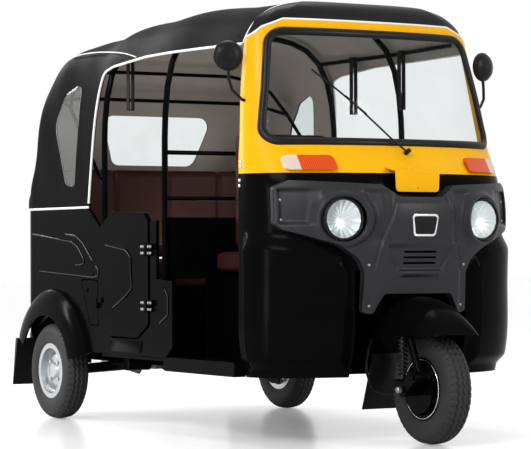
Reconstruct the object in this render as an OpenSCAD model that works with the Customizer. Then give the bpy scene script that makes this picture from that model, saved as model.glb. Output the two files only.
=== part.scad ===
// Auto rickshaw: hollow steel body, soft canopy on hoops, handlebar steering, one front and two rear wheels.
// Millimetres, x forward, y left, z up. Stations along x are measured from the rear axle,
// and those whose name ends in fx, or that follow front(), are measured from the front axle.

/* [Stance] */
// Distance between the front and rear axles
wheelbase = 2000; // [1940:10:2060]
// Distance between the middles of the rear tyres
rear_track = 1150; // [1140:2:1160]
// Rear axle to the back of the bumper
rear_overhang = 428; // [420:2:460]
// Outside radius of the tyres
tyre_r = 207; // [200:1:212]
// Width of the tyres
tyre_w = 106; // [96:1:110]
// Radius of the rim flanges
rim_r = 119; // [114:1:124]

/* [Steel body] */
// Width over the steel sides
body_w = 1200; // [1190:2:1220]
// Thickness of the side and rear panels
panel_t = 15; // [10:1:18]
// Height of the floor's top
floor_z = 297; // [290:1:305]
// Thickness of the floor
floor_t = 12; // [8:1:14]
// Height of the underside of the sills and cowl
sill_z = 248; // [240:1:255]
// Height of the rear body's top edge
waist_z = 905; // [890:1:920]
// Rear axle to the outside of the rear panel
tail_depth = 325; // [315:1:335]
// Radius of the rear corners in plan
corner_r = 100; // [80:1:110]
// Thickness of the front cowl and windscreen frame
shell_t = 12; // [9:1:14]
// Height at which the cowl meets the windscreen frame
cowl_top_z = 1013; // [1005:1:1020]
// Height of the windscreen's lower edge
screen_low_z = 1124; // [1115:1:1135]
// Roof's crown down to the windscreen's upper edge
screen_top_drop = 140; // [134:1:148]
// Body's side in to the windscreen's lower corners
screen_low_in = 84; // [80:1:100]
// Body's side in to the windscreen's upper corners
screen_top_in = 162; // [158:1:175]

/* [Canopy] */
// Height of the roof's crown
roof_z = 1708; // [1700:1:1716]
// Thickness of the canopy
canopy_t = 10; // [6:1:12]
// Radius of the frame tubes
tube_r = 12.5; // [10:0.5:13]

/* [Doors and lids] */
// Thickness of the half door
door_t = 22; // [18:1:24]
// Gap round the half door
door_gap = 8; // [6:1:10]
// Half width of the engine hatch
hatch_half = 326; // [300:2:340]
// Height of the engine hatch's lower edge
hatch_low_z = 444; // [430:2:460]
// Height of the engine hatch's upper edge
hatch_top_z = 796; // [780:2:810]

/* [Steering] */
// Lean of the steering axis from upright, in degrees
rake = 25; // [23:0.5:27]
// Front contact patch to where the steering axis meets the ground
trail = 75; // [65:1:85]
// Sideways place of the leg that carries the front wheel
leg_y = 98; // [94:1:102]
// Half length of the handlebar
bar_half = 300; // [260:5:320]

/* [Hidden] */
$fn = 48;
fit = 0.3;
body_half = body_w / 2;
axle_z = tyre_r;
tyre_front = wheelbase + tyre_r;
middle_x = (tyre_front - rear_overhang) / 2;
wheel_y = rear_track / 2;
tail_x = -tail_depth;
corner_x = tail_x + corner_r;
floor_low_z = floor_z - floor_t;
tyre_half = tyre_w / 2;
screen_top_z = roof_z - screen_top_drop;
screen_low_half = body_half - screen_low_in;
screen_top_half = body_half - screen_top_in;

function front(d) = wheelbase + d;

// Front skin: height, rear edge and nose from the front axle, tuck in from the body's half width, squareness
front_skin = [
    [sill_z, -415, -160, 45, 2.2],
    [sill_z + 90, -426, -128, 28, 2.2],
    [600, -430, -115, 23, 2.25],
    [900, -432, -115, 23, 2.25],
    [cowl_top_z, -440, -145, 28, 2.25],
    [cowl_top_z + 60, -447, -190, 32, 2.2],
    [screen_low_z, -453, -229, 39, 2.2],
    [(screen_low_z + screen_top_z) / 2 + 4, -487, -305, 66, 2.3],
    [screen_top_z - 38, -507, -372, 94, 2.4],
    [screen_top_z + 52, -518, -405, 110, 2.4]
];

// Lamp fascia skin, same columns as the front skin
fascia_skin = [
    [470, -432, -92, 12, 2.1],
    [650, -432, -75, 10, 2.1],
    [894, -432, -47, 8, 2.1],
    [1000, -436, -82, 10, 2.1]
];

// A height on the canopy, as a share of its rise from the waist to the roof's crown
function crown(share) = waist_z + share * (roof_z - waist_z);

// Canopy: station, crown height, tuck in from the body's half width
canopy_base_z = waist_z + fit;
canopy_front_fx = -510;
canopy_line = [
    [tail_x + 5, canopy_base_z + 2, 92],
    [tail_x + 22, waist_z + 38, 36],
    [tail_x + 65, waist_z + 135, 8],
    [-215, crown(0.324), 0],
    [-186, crown(0.48), 0],
    [-166, crown(0.604), 0],
    [-130, crown(0.719), 0],
    [-60, crown(0.818), 0],
    [60, crown(0.883), 0],
    [200, crown(0.918), 0],
    [330, crown(0.943), 0],
    [450, roof_z - 22, 0],
    [700, roof_z - 6, 0],
    [965, roof_z, 1],
    [front(-750), roof_z - 8, 19],
    [front(canopy_front_fx), roof_z - 22, 44]
];
canopy_squareness = 4.5;

// Front mudguard: station from the front axle, lower edge, crown height, half width
mudguard_line = [
    [-265, 288, 294, 118],
    [-255, 310, 420, 121],
    [-225, 350, 500, 123],
    [-180, 395, 540, 125],
    [-120, 408, 552, 126],
    [-50, 406, 548, 125],
    [20, 405, 531, 121],
    [90, 405, 497, 114],
    [140, 405, 452, 106],
    [168, 406, 412, 98]
];
mudguard_squareness = 2.4;
mudguard_t = 5;

// Outlines on the right side: station, height, corner radius
door_outline = [
    [508, 405, 25], [554, 374, 25], [788, 374, 40], [884, 428, 25],
    [884, 840, 30], [846, 878, 20], [557, 888, 30], [456, 816, 20]
];
flap_outline = [[349, 417, 12], [424, 415, 12], [418, 600, 12], [269, 602, 12]];
flap_gap = 5;
// Pressings raised from the side panels, door and partition: station or place across, height, corner radius
press_h = 4;
quarter_press = [
    [-205, 672, 18], [282, 662, 14], [288, 694, 20], [226, 746, 40], [150, 772, 60], [-205, 794, 18]
];
belt_press = [[-190, 632, 6], [384, 614, 6], [384, 630, 6], [-190, 648, 6]];
door_press = [
    [548, 484, 18], [690, 532, 26], [746, 568, 30], [740, 702, 36], [694, 734, 36], [510, 756, 22]
];
post_press = [[966, 430, 14], [1042, 468, 22], [1042, 548, 22], [1016, 578, 16], [966, 582, 10]];
partition_press_h = 3;
partition_press = [
    [[-524, 820, 8], [-497, 820, 8], [-454, 706, 8], [-464, 690, 8], [-524, 690, 8]],
    [[-434, 824, 8], [-300, 828, 8], [-300, 694, 8], [-394, 694, 8]]
];
arch_open_r = 250;
tail_low_z = 340;
step_low_z = 300;
post_x = 945;
entry_x = 1078;
side_opening = [
    [343, waist_z - 40, 0], [front(200), waist_z - 40, 0], [front(200), roof_z - 199, 0],
    [995, roof_z - 194, 300], [778, roof_z - 196, 200], [500, roof_z - 216, 80], [424, roof_z - 234, 40],
    [378, crown(0.304), 200], [343, waist_z + 20, 0]
];
quarter_window = [
    [207, crown(0.116), 30], [244, crown(0.656), 30], [102, crown(0.608), 60],
    [5, crown(0.4545), 90], [112, crown(0.1245), 40]
];
rear_window_low = [205, crown(0.258), 45];
rear_window_top = [285, crown(0.533), 45];
rear_window = [
    rear_window_low, rear_window_top, [-rear_window_top[0], rear_window_top[1], rear_window_top[2]],
    [-rear_window_low[0], rear_window_low[1], rear_window_low[2]]
];

// Half width of the bay that the front wheel turns in
bay_half = 250;

// Lamp fascia outline, left half: place across, height, corner radius
fascia_half = [
    [0, 560, 0], [bay_half - 100, 560, 20], [bay_half - 54, 484, 12], [bay_half - 16, 492, 12],
    [bay_half - 22, 640, 40], [bay_half + 6, 694, 60], [body_half - 270, 742, 60],
    [body_half - 92, 800, 20], [body_half - 70, 822, 15], [body_half - 74, 962, 20],
    [body_half - 116, 984, 15], [165, 968, 30], [95, 922, 20], [0, 922, 0]
];
lamp_y = body_half - 286;
lamp_z = 839;
lamp_fx = -112;
lamp_r = 72;
bezel_r = 84;
lamp_toe = 5;

// Front upper edge of the windscreen frame: place across, height
brow_z = screen_top_z + 38;
brow_line = [
    [body_half + 300, brow_z - 76], [body_half - 94, brow_z - 76], [body_half - 138, brow_z - 32],
    [body_half - 215, brow_z]
];

// Steering geometry
pivot_fx = 69;
pivot_z = axle_z + 48;
leg_r = 14;
boss_half = leg_r + 1;
spring_fx = -46;
spring_seat_r = 18;
spring_pin_r = 9;
spring_pin_z = 410;
stem_r = 22;
stem_low_z = 426;
stem_top_z = 1006;
yoke_z = 440;
yoke_w = 30;
yoke_h = 24;
head_h = 260;
bay_back_fx = -360;
bay_top_z = 645;

// Colours
black_paint = [0.05, 0.05, 0.06];
yellow_paint = [0.98, 0.77, 0.05];
grey_plastic = [0.2, 0.2, 0.22];
rubber = [0.09, 0.09, 0.09];
steel = [0.75, 0.76, 0.78];
brown_vinyl = [0.27, 0.14, 0.11];
clear = [0.8, 0.86, 0.9];
amber = [0.95, 0.45, 0.05];
red = [0.75, 0.05, 0.05];

// Shape helpers
function unit(v) = v / norm(v);
function squircle(a, n) =
    let (r = pow(pow(abs(cos(a)), n) + pow(abs(sin(a)), n), -1 / n)) [r * cos(a), r * sin(a)];
function column(table, k) = [for (row = table) [row[0], row[k]]];
function levels(table, z0, z1) =
    concat([z0], [for (row = table) if (row[0] > z0 + 1 && row[0] < z1 - 1) row[0]], [z1]);
function across_mirror(half) =
    concat(half, [for (i = [len(half) - 2:-1:1]) [-half[i][0], half[i][1], half[i][2]]]);

// A point of a skin at a height and a plan angle, moved inwards by inset
function skin_point(table, z, a, inset) =
    let (
        rear = lookup(z, column(table, 1)),
        nose = lookup(z, column(table, 2)),
        half = body_half - lookup(z, column(table, 3)),
        s = squircle(a, lookup(z, column(table, 4)))
    )
    [front(rear + (nose - rear - inset) * s[0]), (half - inset) * s[1], z];

// The station of a skin at a place across and a height
function skin_x(table, y, z, inset) =
    let (
        rear = lookup(z, column(table, 1)),
        nose = lookup(z, column(table, 2)) - inset,
        half = body_half - lookup(z, column(table, 3)) - inset,
        n = lookup(z, column(table, 4))
    )
    front(rear + (nose - rear) * pow(1 - pow(min(abs(y) / half, 1), n), 1 / n));

skin_steps = 30;
function skin_grid(table, z0, z1, inset) =
    [for (z = levels(table, z0, z1))
        [for (k = [0:skin_steps]) skin_point(table, z, -90 + 180 * k / skin_steps, inset)]];

// The canopy's line moved inwards along its own normal
function canopy_inset(inset) =
    [for (k = [0:len(canopy_line) - 1])
        let (
            before = canopy_line[max(k - 1, 0)],
            after = canopy_line[min(k + 1, len(canopy_line) - 1)],
            way = unit([after[0] - before[0], after[1] - before[1]]),
            last = k == len(canopy_line) - 1
        )
        [
            canopy_line[k][0] + (last ? 0 : inset * way[1]),
            max(canopy_line[k][1] - inset * way[0], canopy_base_z + 1),
            canopy_line[k][2] + inset
        ]];
function canopy_section(row, a) =
    let (s = squircle(a, canopy_squareness))
    [row[0], (body_half - row[2]) * s[0], canopy_base_z + (row[1] - canopy_base_z) * s[1]];
canopy_steps = 40;
function canopy_grid(inset) =
    [for (row = canopy_inset(inset))
        [for (k = [0:canopy_steps]) canopy_section(row, 180 * k / canopy_steps)]];
function canopy_row(x, inset) =
    let (line = canopy_inset(inset)) [x, lookup(x, column(line, 1)), lookup(x, column(line, 2))];

function mudguard_section(row, inset, a) =
    let (s = squircle(a, mudguard_squareness))
    [front(row[0]), (row[3] - inset) * s[0], row[1] + (max(row[2] - inset, row[1] + 1) - row[1]) * s[1]];
mudguard_steps = 20;
function mudguard_grid(inset) =
    [for (k = [0:len(mudguard_line) - 1])
        let (shift = k == 0 ? inset : k == len(mudguard_line) - 1 ? -inset : 0)
        [for (j = [0:mudguard_steps])
            mudguard_section(mudguard_line[k], inset, 180 * j / mudguard_steps) + [shift, 0, 0]]];

// An outline of [x, y, radius] grown by d, and with its corners rounded
function edge_normal(p, q) = let (e = unit([q[0] - p[0], q[1] - p[1]])) [e[1], -e[0]];
function grown(pts, d) =
    [for (i = [0:len(pts) - 1])
        let (
            n = len(pts),
            a = edge_normal(pts[(i + n - 1) % n], pts[i]),
            b = edge_normal(pts[i], pts[(i + 1) % n]),
            m = (a + b) / (1 + a * b)
        )
        [pts[i][0] + d * m[0], pts[i][1] + d * m[1], pts[i][2]]];
function corner_arc(before, p, after, steps) =
    let (
        v = [p[0], p[1]],
        u = unit([before[0], before[1]] - v),
        w = unit([after[0], after[1]] - v),
        half = acos(max(-1, min(1, u * w))) / 2,
        c = v + unit(u + w) * p[2] / sin(half),
        s = v + u * p[2] / tan(half) - c,
        e = v + w * p[2] / tan(half) - c,
        a0 = atan2(s[1], s[0]),
        turn = ((atan2(e[1], e[0]) - a0 + 540) % 360) - 180
    )
    [for (i = [0:steps]) c + p[2] * [cos(a0 + turn * i / steps), sin(a0 + turn * i / steps)]];
function rounded(pts, steps = 4) =
    [for (i = [0:len(pts) - 1])
        each (pts[i][2] > 0
            ? corner_arc(pts[(i + len(pts) - 1) % len(pts)], pts[i], pts[(i + 1) % len(pts)], steps)
            : [[pts[i][0], pts[i][1]]])];

// A closed sheet between an outer and an inner grid of points
module sheet(outer, inner) {
    rows = len(outer) - 1;
    cols = len(outer[0]) - 1;
    step = cols + 1;
    low = (rows + 1) * step;
    function quad(a, b, c, d) = [[a, b, c], [a, c, d]];
    faces = concat(
        [for (i = [0:rows - 1], j = [0:cols - 1])
            let (p = i * step + j) each quad(p, p + step, p + step + 1, p + 1)],
        [for (i = [0:rows - 1], j = [0:cols - 1])
            let (p = low + i * step + j) each quad(p, p + 1, p + step + 1, p + step)],
        [for (i = [0:rows - 1]) let (p = i * step) each quad(p + step, p, low + p, low + p + step)],
        [for (i = [0:rows - 1]) let (p = i * step + cols) each quad(p, p + step, low + p + step, low + p)],
        [for (j = [0:cols - 1]) each quad(j, j + 1, low + j + 1, low + j)],
        [for (j = [0:cols - 1]) let (p = rows * step + j) each quad(p + 1, p, low + p, low + p + 1)]
    );
    polyhedron([for (row = outer) each row, for (row = inner) each row], faces);
}

module skin_sheet(table, z0, z1, outside, inside) {
    sheet(skin_grid(table, z0, z1, outside), skin_grid(table, z0, z1, inside));
}

// The whole space behind a skin, closed at its rear edge
module skin_block(table, z0, z1, inset) {
    grid = skin_grid(table, z0, z1, inset);
    rows = len(grid) - 1;
    step = skin_steps + 1;
    faces = concat(
        [for (i = [0:rows - 1], j = [0:skin_steps - 1])
            let (p = i * step + j) each [[p, p + step, p + step + 1], [p, p + step + 1, p + 1]]],
        [[for (j = [0:skin_steps]) j]],
        [[for (j = [skin_steps:-1:0]) rows * step + j]],
        [for (i = [0:rows - 1])
            let (p = i * step, q = p + skin_steps) each [[p, q, q + step], [p, q + step, p + step]]]
    );
    polyhedron([for (row = grid) each row], faces);
}

// A round tube swept along a path, its rings turned by a reference direction
module sweep(path, r, ref, sides = 8) {
    last = len(path) - 1;
    rings = [for (k = [0:last])
        let (
            way = unit(path[min(k + 1, last)] - path[max(k - 1, 0)]),
            a = unit(cross(way, ref)),
            b = cross(way, a)
        )
        for (s = [0:sides - 1]) path[k] + r * (a * cos(360 * s / sides) + b * sin(360 * s / sides))];
    faces = concat(
        [[for (s = [0:sides - 1]) s]],
        [[for (s = [sides - 1:-1:0]) last * sides + s]],
        [for (k = [0:last - 1], s = [0:sides - 1])
            let (p = k * sides, t = (s + 1) % sides)
            each [[p + s, p + sides + s, p + sides + t], [p + s, p + sides + t, p + t]]]
    );
    polyhedron(rings, faces);
}

module rod(a, b, r) {
    way = b - a;
    translate(a)
        rotate([0, acos(way[2] / norm(way)), atan2(way[1], way[0])])
            cylinder(r = r, h = norm(way));
}

module box(low, high) {
    translate(low) cube(high - low);
}

// Side outlines run along y, front outlines run along x
module side_prism(y0, y1) {
    translate([0, y1, 0]) rotate([90, 0, 0]) linear_extrude(y1 - y0) children();
}

module front_prism(x0, x1) {
    translate([x0, 0, 0]) rotate([90, 0, 90]) linear_extrude(x1 - x0) children();
}

module both_sides() {
    children();
    mirror([0, 1, 0]) children();
}

// Steering axis: a point at a height, and a frame whose z runs up along the axis
function stem_x(z) = front(trail) - z * tan(rake);

module along_stem(z) {
    translate([stem_x(z), 0, z]) rotate([0, -rake, 0]) children();
}

module from_axle() {
    translate([-middle_x, 0, 0]) children();
}

// Steel body
floor_rear_x = 430;

module floor_pan() {
    cowl_rear = front(-432);
    color(black_paint) union() {
        box([floor_rear_x, -body_half + panel_t + fit, floor_low_z],
            [cowl_rear, body_half - panel_t - fit, floor_z]);
        box([cowl_rear - 1, -body_half + 62, floor_low_z],
            [front(bay_back_fx) - shell_t - fit, body_half - 62, floor_z]);
        both_sides()
            side_prism(-body_half, -body_half + 50)
                polygon(rounded([
                    [entry_x + fit, step_low_z + 3, 0], [1010, step_low_z - fit, 0], [990, sill_z + 8, 0],
                    [1020, sill_z, 12], [cowl_rear - fit, sill_z, 0], [cowl_rear - fit, step_low_z + 3, 0]
                ]));
    }
}

rail_y = 350;
rail_half = 25;
rail_low_z = floor_low_z - 40;
rail_rear_x = tail_x - 5;
arm_pivot_x = 450;
arm_pivot_z = 250;
engine_front_x = 140;

module underframe() {
    color(black_paint) union() {
        both_sides()
            box([rail_rear_x, rail_y - rail_half, rail_low_z],
                [front(-430), rail_y + rail_half, floor_low_z]);
        for (x = [engine_front_x + fit, 900, 1400])
            box([x, -rail_y, rail_low_z + 5], [x + 45, rail_y, floor_low_z - 2]);
        box([rail_rear_x, -rail_y, rail_low_z + 5], [rail_rear_x + 35, rail_y, floor_low_z - 2]);
    }
}

module front_cowl() {
    color(black_paint) difference() {
        union() {
            skin_sheet(front_skin, sill_z, cowl_top_z - fit, 0, shell_t);
            intersection() {
                skin_block(front_skin, sill_z, cowl_top_z - fit, 1);
                box([front(bay_back_fx) - shell_t, -bay_half - shell_t, sill_z],
                    [front(0), bay_half + shell_t, bay_top_z + shell_t]);
            }
            along_stem(bay_top_z) cylinder(r = stem_r + 9, h = head_h);
        }
        box([front(bay_back_fx), -bay_half, sill_z - 50], [front(200), bay_half, bay_top_z]);
        along_stem(bay_top_z - 50) cylinder(r = stem_r + fit, h = head_h + 150);
        both_sides() translate([front(-300), lamp_y, lamp_z]) rotate([0, 90, 0])
            cylinder(r = bezel_r + 8, h = 400);
    }
}

screen_outline = [
    [-screen_low_half, screen_low_z, 55], [screen_low_half, screen_low_z, 55],
    [screen_top_half, screen_top_z, 75], [-screen_top_half, screen_top_z, 75]
];
gasket_w = 24;

// The space over the brow line, lowered by drop
module over_brow(drop) {
    left = [for (p = brow_line) [p[0], p[1] - drop]];
    right = [for (i = [len(brow_line) - 1:-1:0]) [-brow_line[i][0], brow_line[i][1] - drop]];
    front_prism(front(-900), front(300))
        polygon(concat(left, right, [[-900, 2000], [900, 2000]]));
}

module windscreen_frame() {
    tab_half = 92;
    tab_low_z = 942;
    color(yellow_paint) union() {
        difference() {
            skin_sheet(front_skin, cowl_top_z, brow_z + 14, 0, shell_t);
            front_prism(front(-700), front(200)) polygon(rounded(screen_outline, 6));
            over_brow(0);
        }
        intersection() {
            skin_sheet(front_skin, tab_low_z, cowl_top_z + 20, -7, -1);
            front_prism(front(-300), front(200))
                polygon(rounded([
                    [-tab_half + 8, tab_low_z, 8], [tab_half - 8, tab_low_z, 8],
                    [tab_half, cowl_top_z + 20, 0], [-tab_half, cowl_top_z + 20, 0]
                ]));
        }
        intersection() {
            skin_sheet(front_skin, cowl_top_z, cowl_top_z + 20, -7, 2);
            front_prism(front(-300), front(200))
                translate([-tab_half, cowl_top_z]) square([2 * tab_half, 20]);
        }
    }
}

module windscreen_gasket() {
    color(rubber) intersection() {
        skin_sheet(front_skin, screen_low_z - 20, screen_top_z + 20, -6, shell_t + 4);
        front_prism(front(-700), front(200)) difference() {
            polygon(rounded(grown(screen_outline, -fit), 6));
            polygon(rounded(grown(screen_outline, -gasket_w), 6));
        }
    }
}

module windscreen_glass() {
    color(clear) intersection() {
        skin_sheet(front_skin, screen_low_z - 20, screen_top_z + 20, 2, 8);
        front_prism(front(-700), front(200)) polygon(rounded(grown(screen_outline, -gasket_w - fit), 6));
    }
}

module side_plate() {
    top_step = 852;
    opening = grown(door_outline, door_gap);
    side_prism(-body_half, -body_half + panel_t) difference() {
        polygon([
            [corner_x + fit, tail_low_z], [0, tail_low_z], [0, step_low_z], [1018, step_low_z],
            [entry_x, 345], [entry_x, 604], [post_x, 612], [post_x, top_step], [892, top_step],
            [892, waist_z - 10], [600, waist_z + 200], [443, 824], [330, waist_z], [corner_x + fit, waist_z]
        ]);
        polygon(rounded(opening));
        translate([0, axle_z]) circle(r = arch_open_r);
        polygon([
            [443, 824], [500, 860], [884, 840], [1000, top_step], [1000, 1300], [300, 1300], [330, waist_z]
        ]);
        children();
    }
}

module side_pressings() {
    for (outline = [quarter_press, belt_press, post_press])
        side_prism(-body_half - press_h, -body_half + 1) polygon(rounded(outline));
}

hinge_z = [503, 728];
door_hinge_x = 889;
door_out = 6;
door_hinge_y = -body_half - door_out - 8;
knuckle_r = 7;
knuckle_h = 25;
pin_r = 3;
flap_hinge_x = 431;
flap_hinge_y = -body_half - 7.5;
flap_hinge_z = 508;

// Half of a hinge: a knuckle on the axis and a strap to the plate at y, dir +1 forward or -1 back
module knuckle(x, y, z0, z1, plate_y, dir, r) {
    translate([x, y, z0]) cylinder(r = r, h = z1 - z0);
    box([min(x, x + dir * 38), y - 1, z0], [max(x, x + dir * 38), plate_y, z1]);
}

module side_panel_right() {
    color(black_paint) union() {
        side_plate() polygon(rounded(grown(flap_outline, flap_gap)));
        side_pressings();
        for (z = hinge_z) {
            knuckle(door_hinge_x, door_hinge_y, z + fit, z + knuckle_h, -body_half + 1, 1, knuckle_r);
            translate([door_hinge_x, door_hinge_y, z - knuckle_h + 2]) cylinder(r = pin_r, h = knuckle_h);
        }
        knuckle(flap_hinge_x, flap_hinge_y, flap_hinge_z + fit, flap_hinge_z + 22, -body_half + 1, 1, 6);
        translate([flap_hinge_x, flap_hinge_y, flap_hinge_z - 18]) cylinder(r = 2.5, h = 20);
    }
}

module side_panel_left() {
    color(black_paint) mirror([0, 1, 0]) union() {
        side_plate();
        side_pressings();
    }
}

module door_right() {
    color(black_paint) difference() {
        union() {
            side_prism(-body_half - door_out, -body_half - door_out + door_t) polygon(rounded(door_outline));
            side_prism(-body_half - door_out - press_h, -body_half - door_out + 1)
                polygon(rounded(door_press));
            for (z = hinge_z)
                knuckle(door_hinge_x, door_hinge_y, z - knuckle_h, z - fit,
                    -body_half - door_out + 1, -1, knuckle_r);
        }
        for (z = hinge_z)
            translate([door_hinge_x, door_hinge_y, z - knuckle_h - 10])
                cylinder(r = pin_r + fit, h = knuckle_h + 12);
    }
}

module access_flap() {
    color(black_paint) difference() {
        union() {
            side_prism(-body_half, -body_half + panel_t) polygon(rounded(flap_outline));
            knuckle(flap_hinge_x, flap_hinge_y, flap_hinge_z - 22, flap_hinge_z - fit,
                -body_half - 2 * fit, -1, 6);
            box([flap_hinge_x - 38, flap_hinge_y - 1, flap_hinge_z - 22],
                [flap_hinge_x - 15, -body_half + 1, flap_hinge_z - fit]);
            translate([320, -body_half + 1, 560]) rotate([90, 0, 0]) cylinder(r = 9, h = 6);
        }
        translate([flap_hinge_x, flap_hinge_y, flap_hinge_z - 30]) cylinder(r = 2.5 + fit, h = 32);
    }
}

hatch_x = tail_x - 6;
hatch_hinge_z = hatch_top_z + 8;
hatch_knuckle_y = [180, -240];

// Plan of the tail, t inside its outer face
module tail_plan(t) {
    half = body_half - t;
    r = corner_r - t;
    difference() {
        union() {
            translate([corner_x - r, -half + r]) square([r, 2 * half - 2 * r]);
            for (side = [-1, 1])
                translate([corner_x, side * (half - r)]) circle(r = r);
        }
        translate([corner_x, -body_half - 1]) square([corner_r + 1, 2 * body_half + 2]);
    }
}

module rear_panel() {
    open_half = hatch_half + 6;
    color(black_paint) union() {
        difference() {
            translate([0, 0, tail_low_z]) linear_extrude(waist_z - tail_low_z) difference() {
                tail_plan(0);
                tail_plan(panel_t);
            }
            box([tail_x - 20, -open_half, hatch_low_z - 6], [tail_x + 60, open_half, hatch_top_z + 4]);
        }
        for (y = hatch_knuckle_y) {
            translate([hatch_x - 2, y + 30 + fit, hatch_hinge_z]) rotate([-90, 0, 0])
                cylinder(r = 6, h = 30);
            box([hatch_x - 2, y + 30 + fit, hatch_hinge_z + 1],
                [tail_x + 1, y + 60 + fit, hatch_hinge_z + 5]);
            translate([hatch_x - 2, y + 4, hatch_hinge_z]) rotate([-90, 0, 0]) cylinder(r = 2.5, h = 30);
        }
    }
}

module engine_hatch() {
    louvre_z = [for (k = [0:5]) hatch_low_z + 70 + 42 * k];
    color(black_paint) difference() {
        union() {
            box([hatch_x, -hatch_half, hatch_low_z], [hatch_x + panel_t, hatch_half, hatch_top_z]);
            for (y = hatch_knuckle_y) {
                translate([hatch_x - 2, y, hatch_hinge_z]) rotate([-90, 0, 0]) cylinder(r = 6, h = 30);
                box([hatch_x - 4, y, hatch_top_z - 30], [hatch_x + 1, y + 30, hatch_hinge_z]);
            }
        }
        for (y = hatch_knuckle_y)
            translate([hatch_x - 2, y - 1, hatch_hinge_z]) rotate([-90, 0, 0])
                cylinder(r = 2.5 + fit, h = 40);
        for (z = louvre_z, y = [-200, 60])
            box([hatch_x - 1, y, z], [hatch_x + panel_t + 1, y + 140, z + 14]);
    }
}

// Arch flare: radius from the axle, stand from the panel's outer face
flare_section = [
    [354, fit], [350, 16], [332, 31], [302, 42], [262, 49], [240, 50],
    [240, 42], [262, 41], [298, 34], [324, 24], [341, 11], [344, fit]
];

module wheel_arches() {
    color(rubber) both_sides()
        translate([0, -body_half, axle_z]) rotate([90, 0, 0])
            rotate([0, 0, 14]) rotate_extrude(angle = 140, $fn = 96) polygon(flare_section);
}

module mud_flaps() {
    flap_top_z = tail_low_z - fit;
    color(rubber) both_sides() union() {
        side_prism(-body_half - 40, 140 - body_half)
            polygon([[-296, flap_top_z], [-318, flap_top_z], [-352, 132], [-346, 131]]);
        box([tail_x, 80 - body_half, flap_top_z - 16], [-296, 160 - body_half, flap_top_z]);
    }
}

bumper_r = 19;
bumper_x = -rear_overhang + bumper_r;
bumper_z = 345;
tow_eye_r = 14;
tow_eye_x = bumper_x + 10;
tow_eye_z = bumper_z - 50;

module rear_bumper() {
    color(black_paint) union() {
        translate([bumper_x, -520, bumper_z]) rotate([-90, 0, 0]) cylinder(r = bumper_r, h = 1040);
        both_sides() {
            box([bumper_x, rail_y - 20, bumper_z - 8], [rail_rear_x - fit, rail_y + 20, bumper_z + 8]);
            box([rail_rear_x - 12, rail_y - 20, rail_low_z], [rail_rear_x - fit, rail_y + 20, bumper_z + 8]);
        }
        difference() {
            side_prism(-6, 6) union() {
                translate([tow_eye_x, tow_eye_z]) circle(r = tow_eye_r + 12);
                translate([tow_eye_x - 18, tow_eye_z]) square([36, 40]);
            }
            translate([tow_eye_x, 10, tow_eye_z]) rotate([90, 0, 0]) cylinder(r = tow_eye_r, h = 20);
        }
    }
}

module tail_lamps() {
    color(red) both_sides()
        front_prism(tail_x - 30, tail_x - fit)
            translate([body_half - 200, 640]) polygon(rounded([[0, 0, 20], [76, 0, 20], [76, 150, 20], [0, 150, 20]]));
}

// Front trim
fascia_outline = across_mirror(fascia_half);

module lamp_fascia() {
    fascia_t = 12;
    low_z = 476;
    top_z = 992;
    rim_z = [
        low_z, front_skin[2][0], fascia_skin[1][0], fascia_skin[2][0], front_skin[3][0], top_z
    ];
    hex = [[-118, 722, 12], [-78, 668, 12], [78, 668, 12], [118, 722, 12], [78, 776, 12], [-78, 776, 12]];
    color(grey_plastic) difference() {
        union() {
            intersection() {
                skin_sheet(fascia_skin, low_z, top_z, 0, fascia_t);
                front_prism(front(-400), front(200)) polygon(rounded(fascia_outline));
            }
            intersection() {
                sheet(
                    [for (z = rim_z) [for (k = [0:skin_steps])
                        skin_point(fascia_skin, z, -90 + 180 * k / skin_steps, 4)]],
                    [for (z = rim_z) [for (k = [0:skin_steps])
                        skin_point(front_skin, z, -90 + 180 * k / skin_steps, -0.6)]]
                );
                front_prism(front(-400), front(200)) difference() {
                    polygon(rounded(fascia_outline));
                    polygon(rounded(grown(fascia_outline, -9)));
                }
            }
        }
        both_sides() translate([front(lamp_fx), lamp_y, lamp_z]) rotate([0, 90, lamp_toe])
            translate([0, 0, -120]) cylinder(r = bezel_r, h = 400);
        intersection() {
            skin_sheet(fascia_skin, 600, 800, -5, 6);
            front_prism(front(-400), front(200)) polygon(rounded(hex));
        }
        for (z = [690, 718, 746])
            front_prism(front(-300), front(200))
                polygon(rounded([[-74, z, 5], [74, z, 5], [74, z + 12, 5], [-74, z + 12, 5]]));
    }
}

badge_outline = [[-36, 792, 6], [36, 792, 6], [48, 842, 6], [-48, 842, 6]];

module badge_plate() {
    color(steel) intersection() {
        skin_sheet(fascia_skin, 780, 860, -7, -fit);
        front_prism(front(-200), front(200)) polygon(rounded(badge_outline));
    }
}

module headlamps() {
    color(clear) both_sides()
        translate([front(lamp_fx), lamp_y, lamp_z]) rotate([0, 90, lamp_toe]) rotate_extrude()
            polygon([
                [0, -52], [40, -50], [66, -22], [bezel_r - fit, -12], [bezel_r - fit, 2],
                [lamp_r + 4, 8], [lamp_r, 4], [52, 11], [28, 16], [0, 18]
            ]);
}

module front_indicators() {
    color(amber) both_sides() intersection() {
        skin_sheet(front_skin, cowl_top_z, screen_low_z, -20, -fit);
        front_prism(front(-400), front(0))
            translate([body_half - 300, cowl_top_z + 11])
                polygon(rounded([[0, 0, 12], [180, 0, 12], [180, 56, 20], [0, 56, 20]]));
    }
}

// Wiper: places across and heights on the glass
wiper_pivot = [25, screen_low_z - 32];
wiper_mid = [-196, screen_low_z + 184];
blade_low = [-118, screen_low_z + 116];
blade_top = [-314, screen_low_z + 285];

function on_glass(p, q, steps, off) =
    [for (k = [0:steps])
        let (w = p + (q - p) * k / steps) [skin_x(front_skin, w[0], w[1], -off), w[0], w[1]]];

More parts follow.
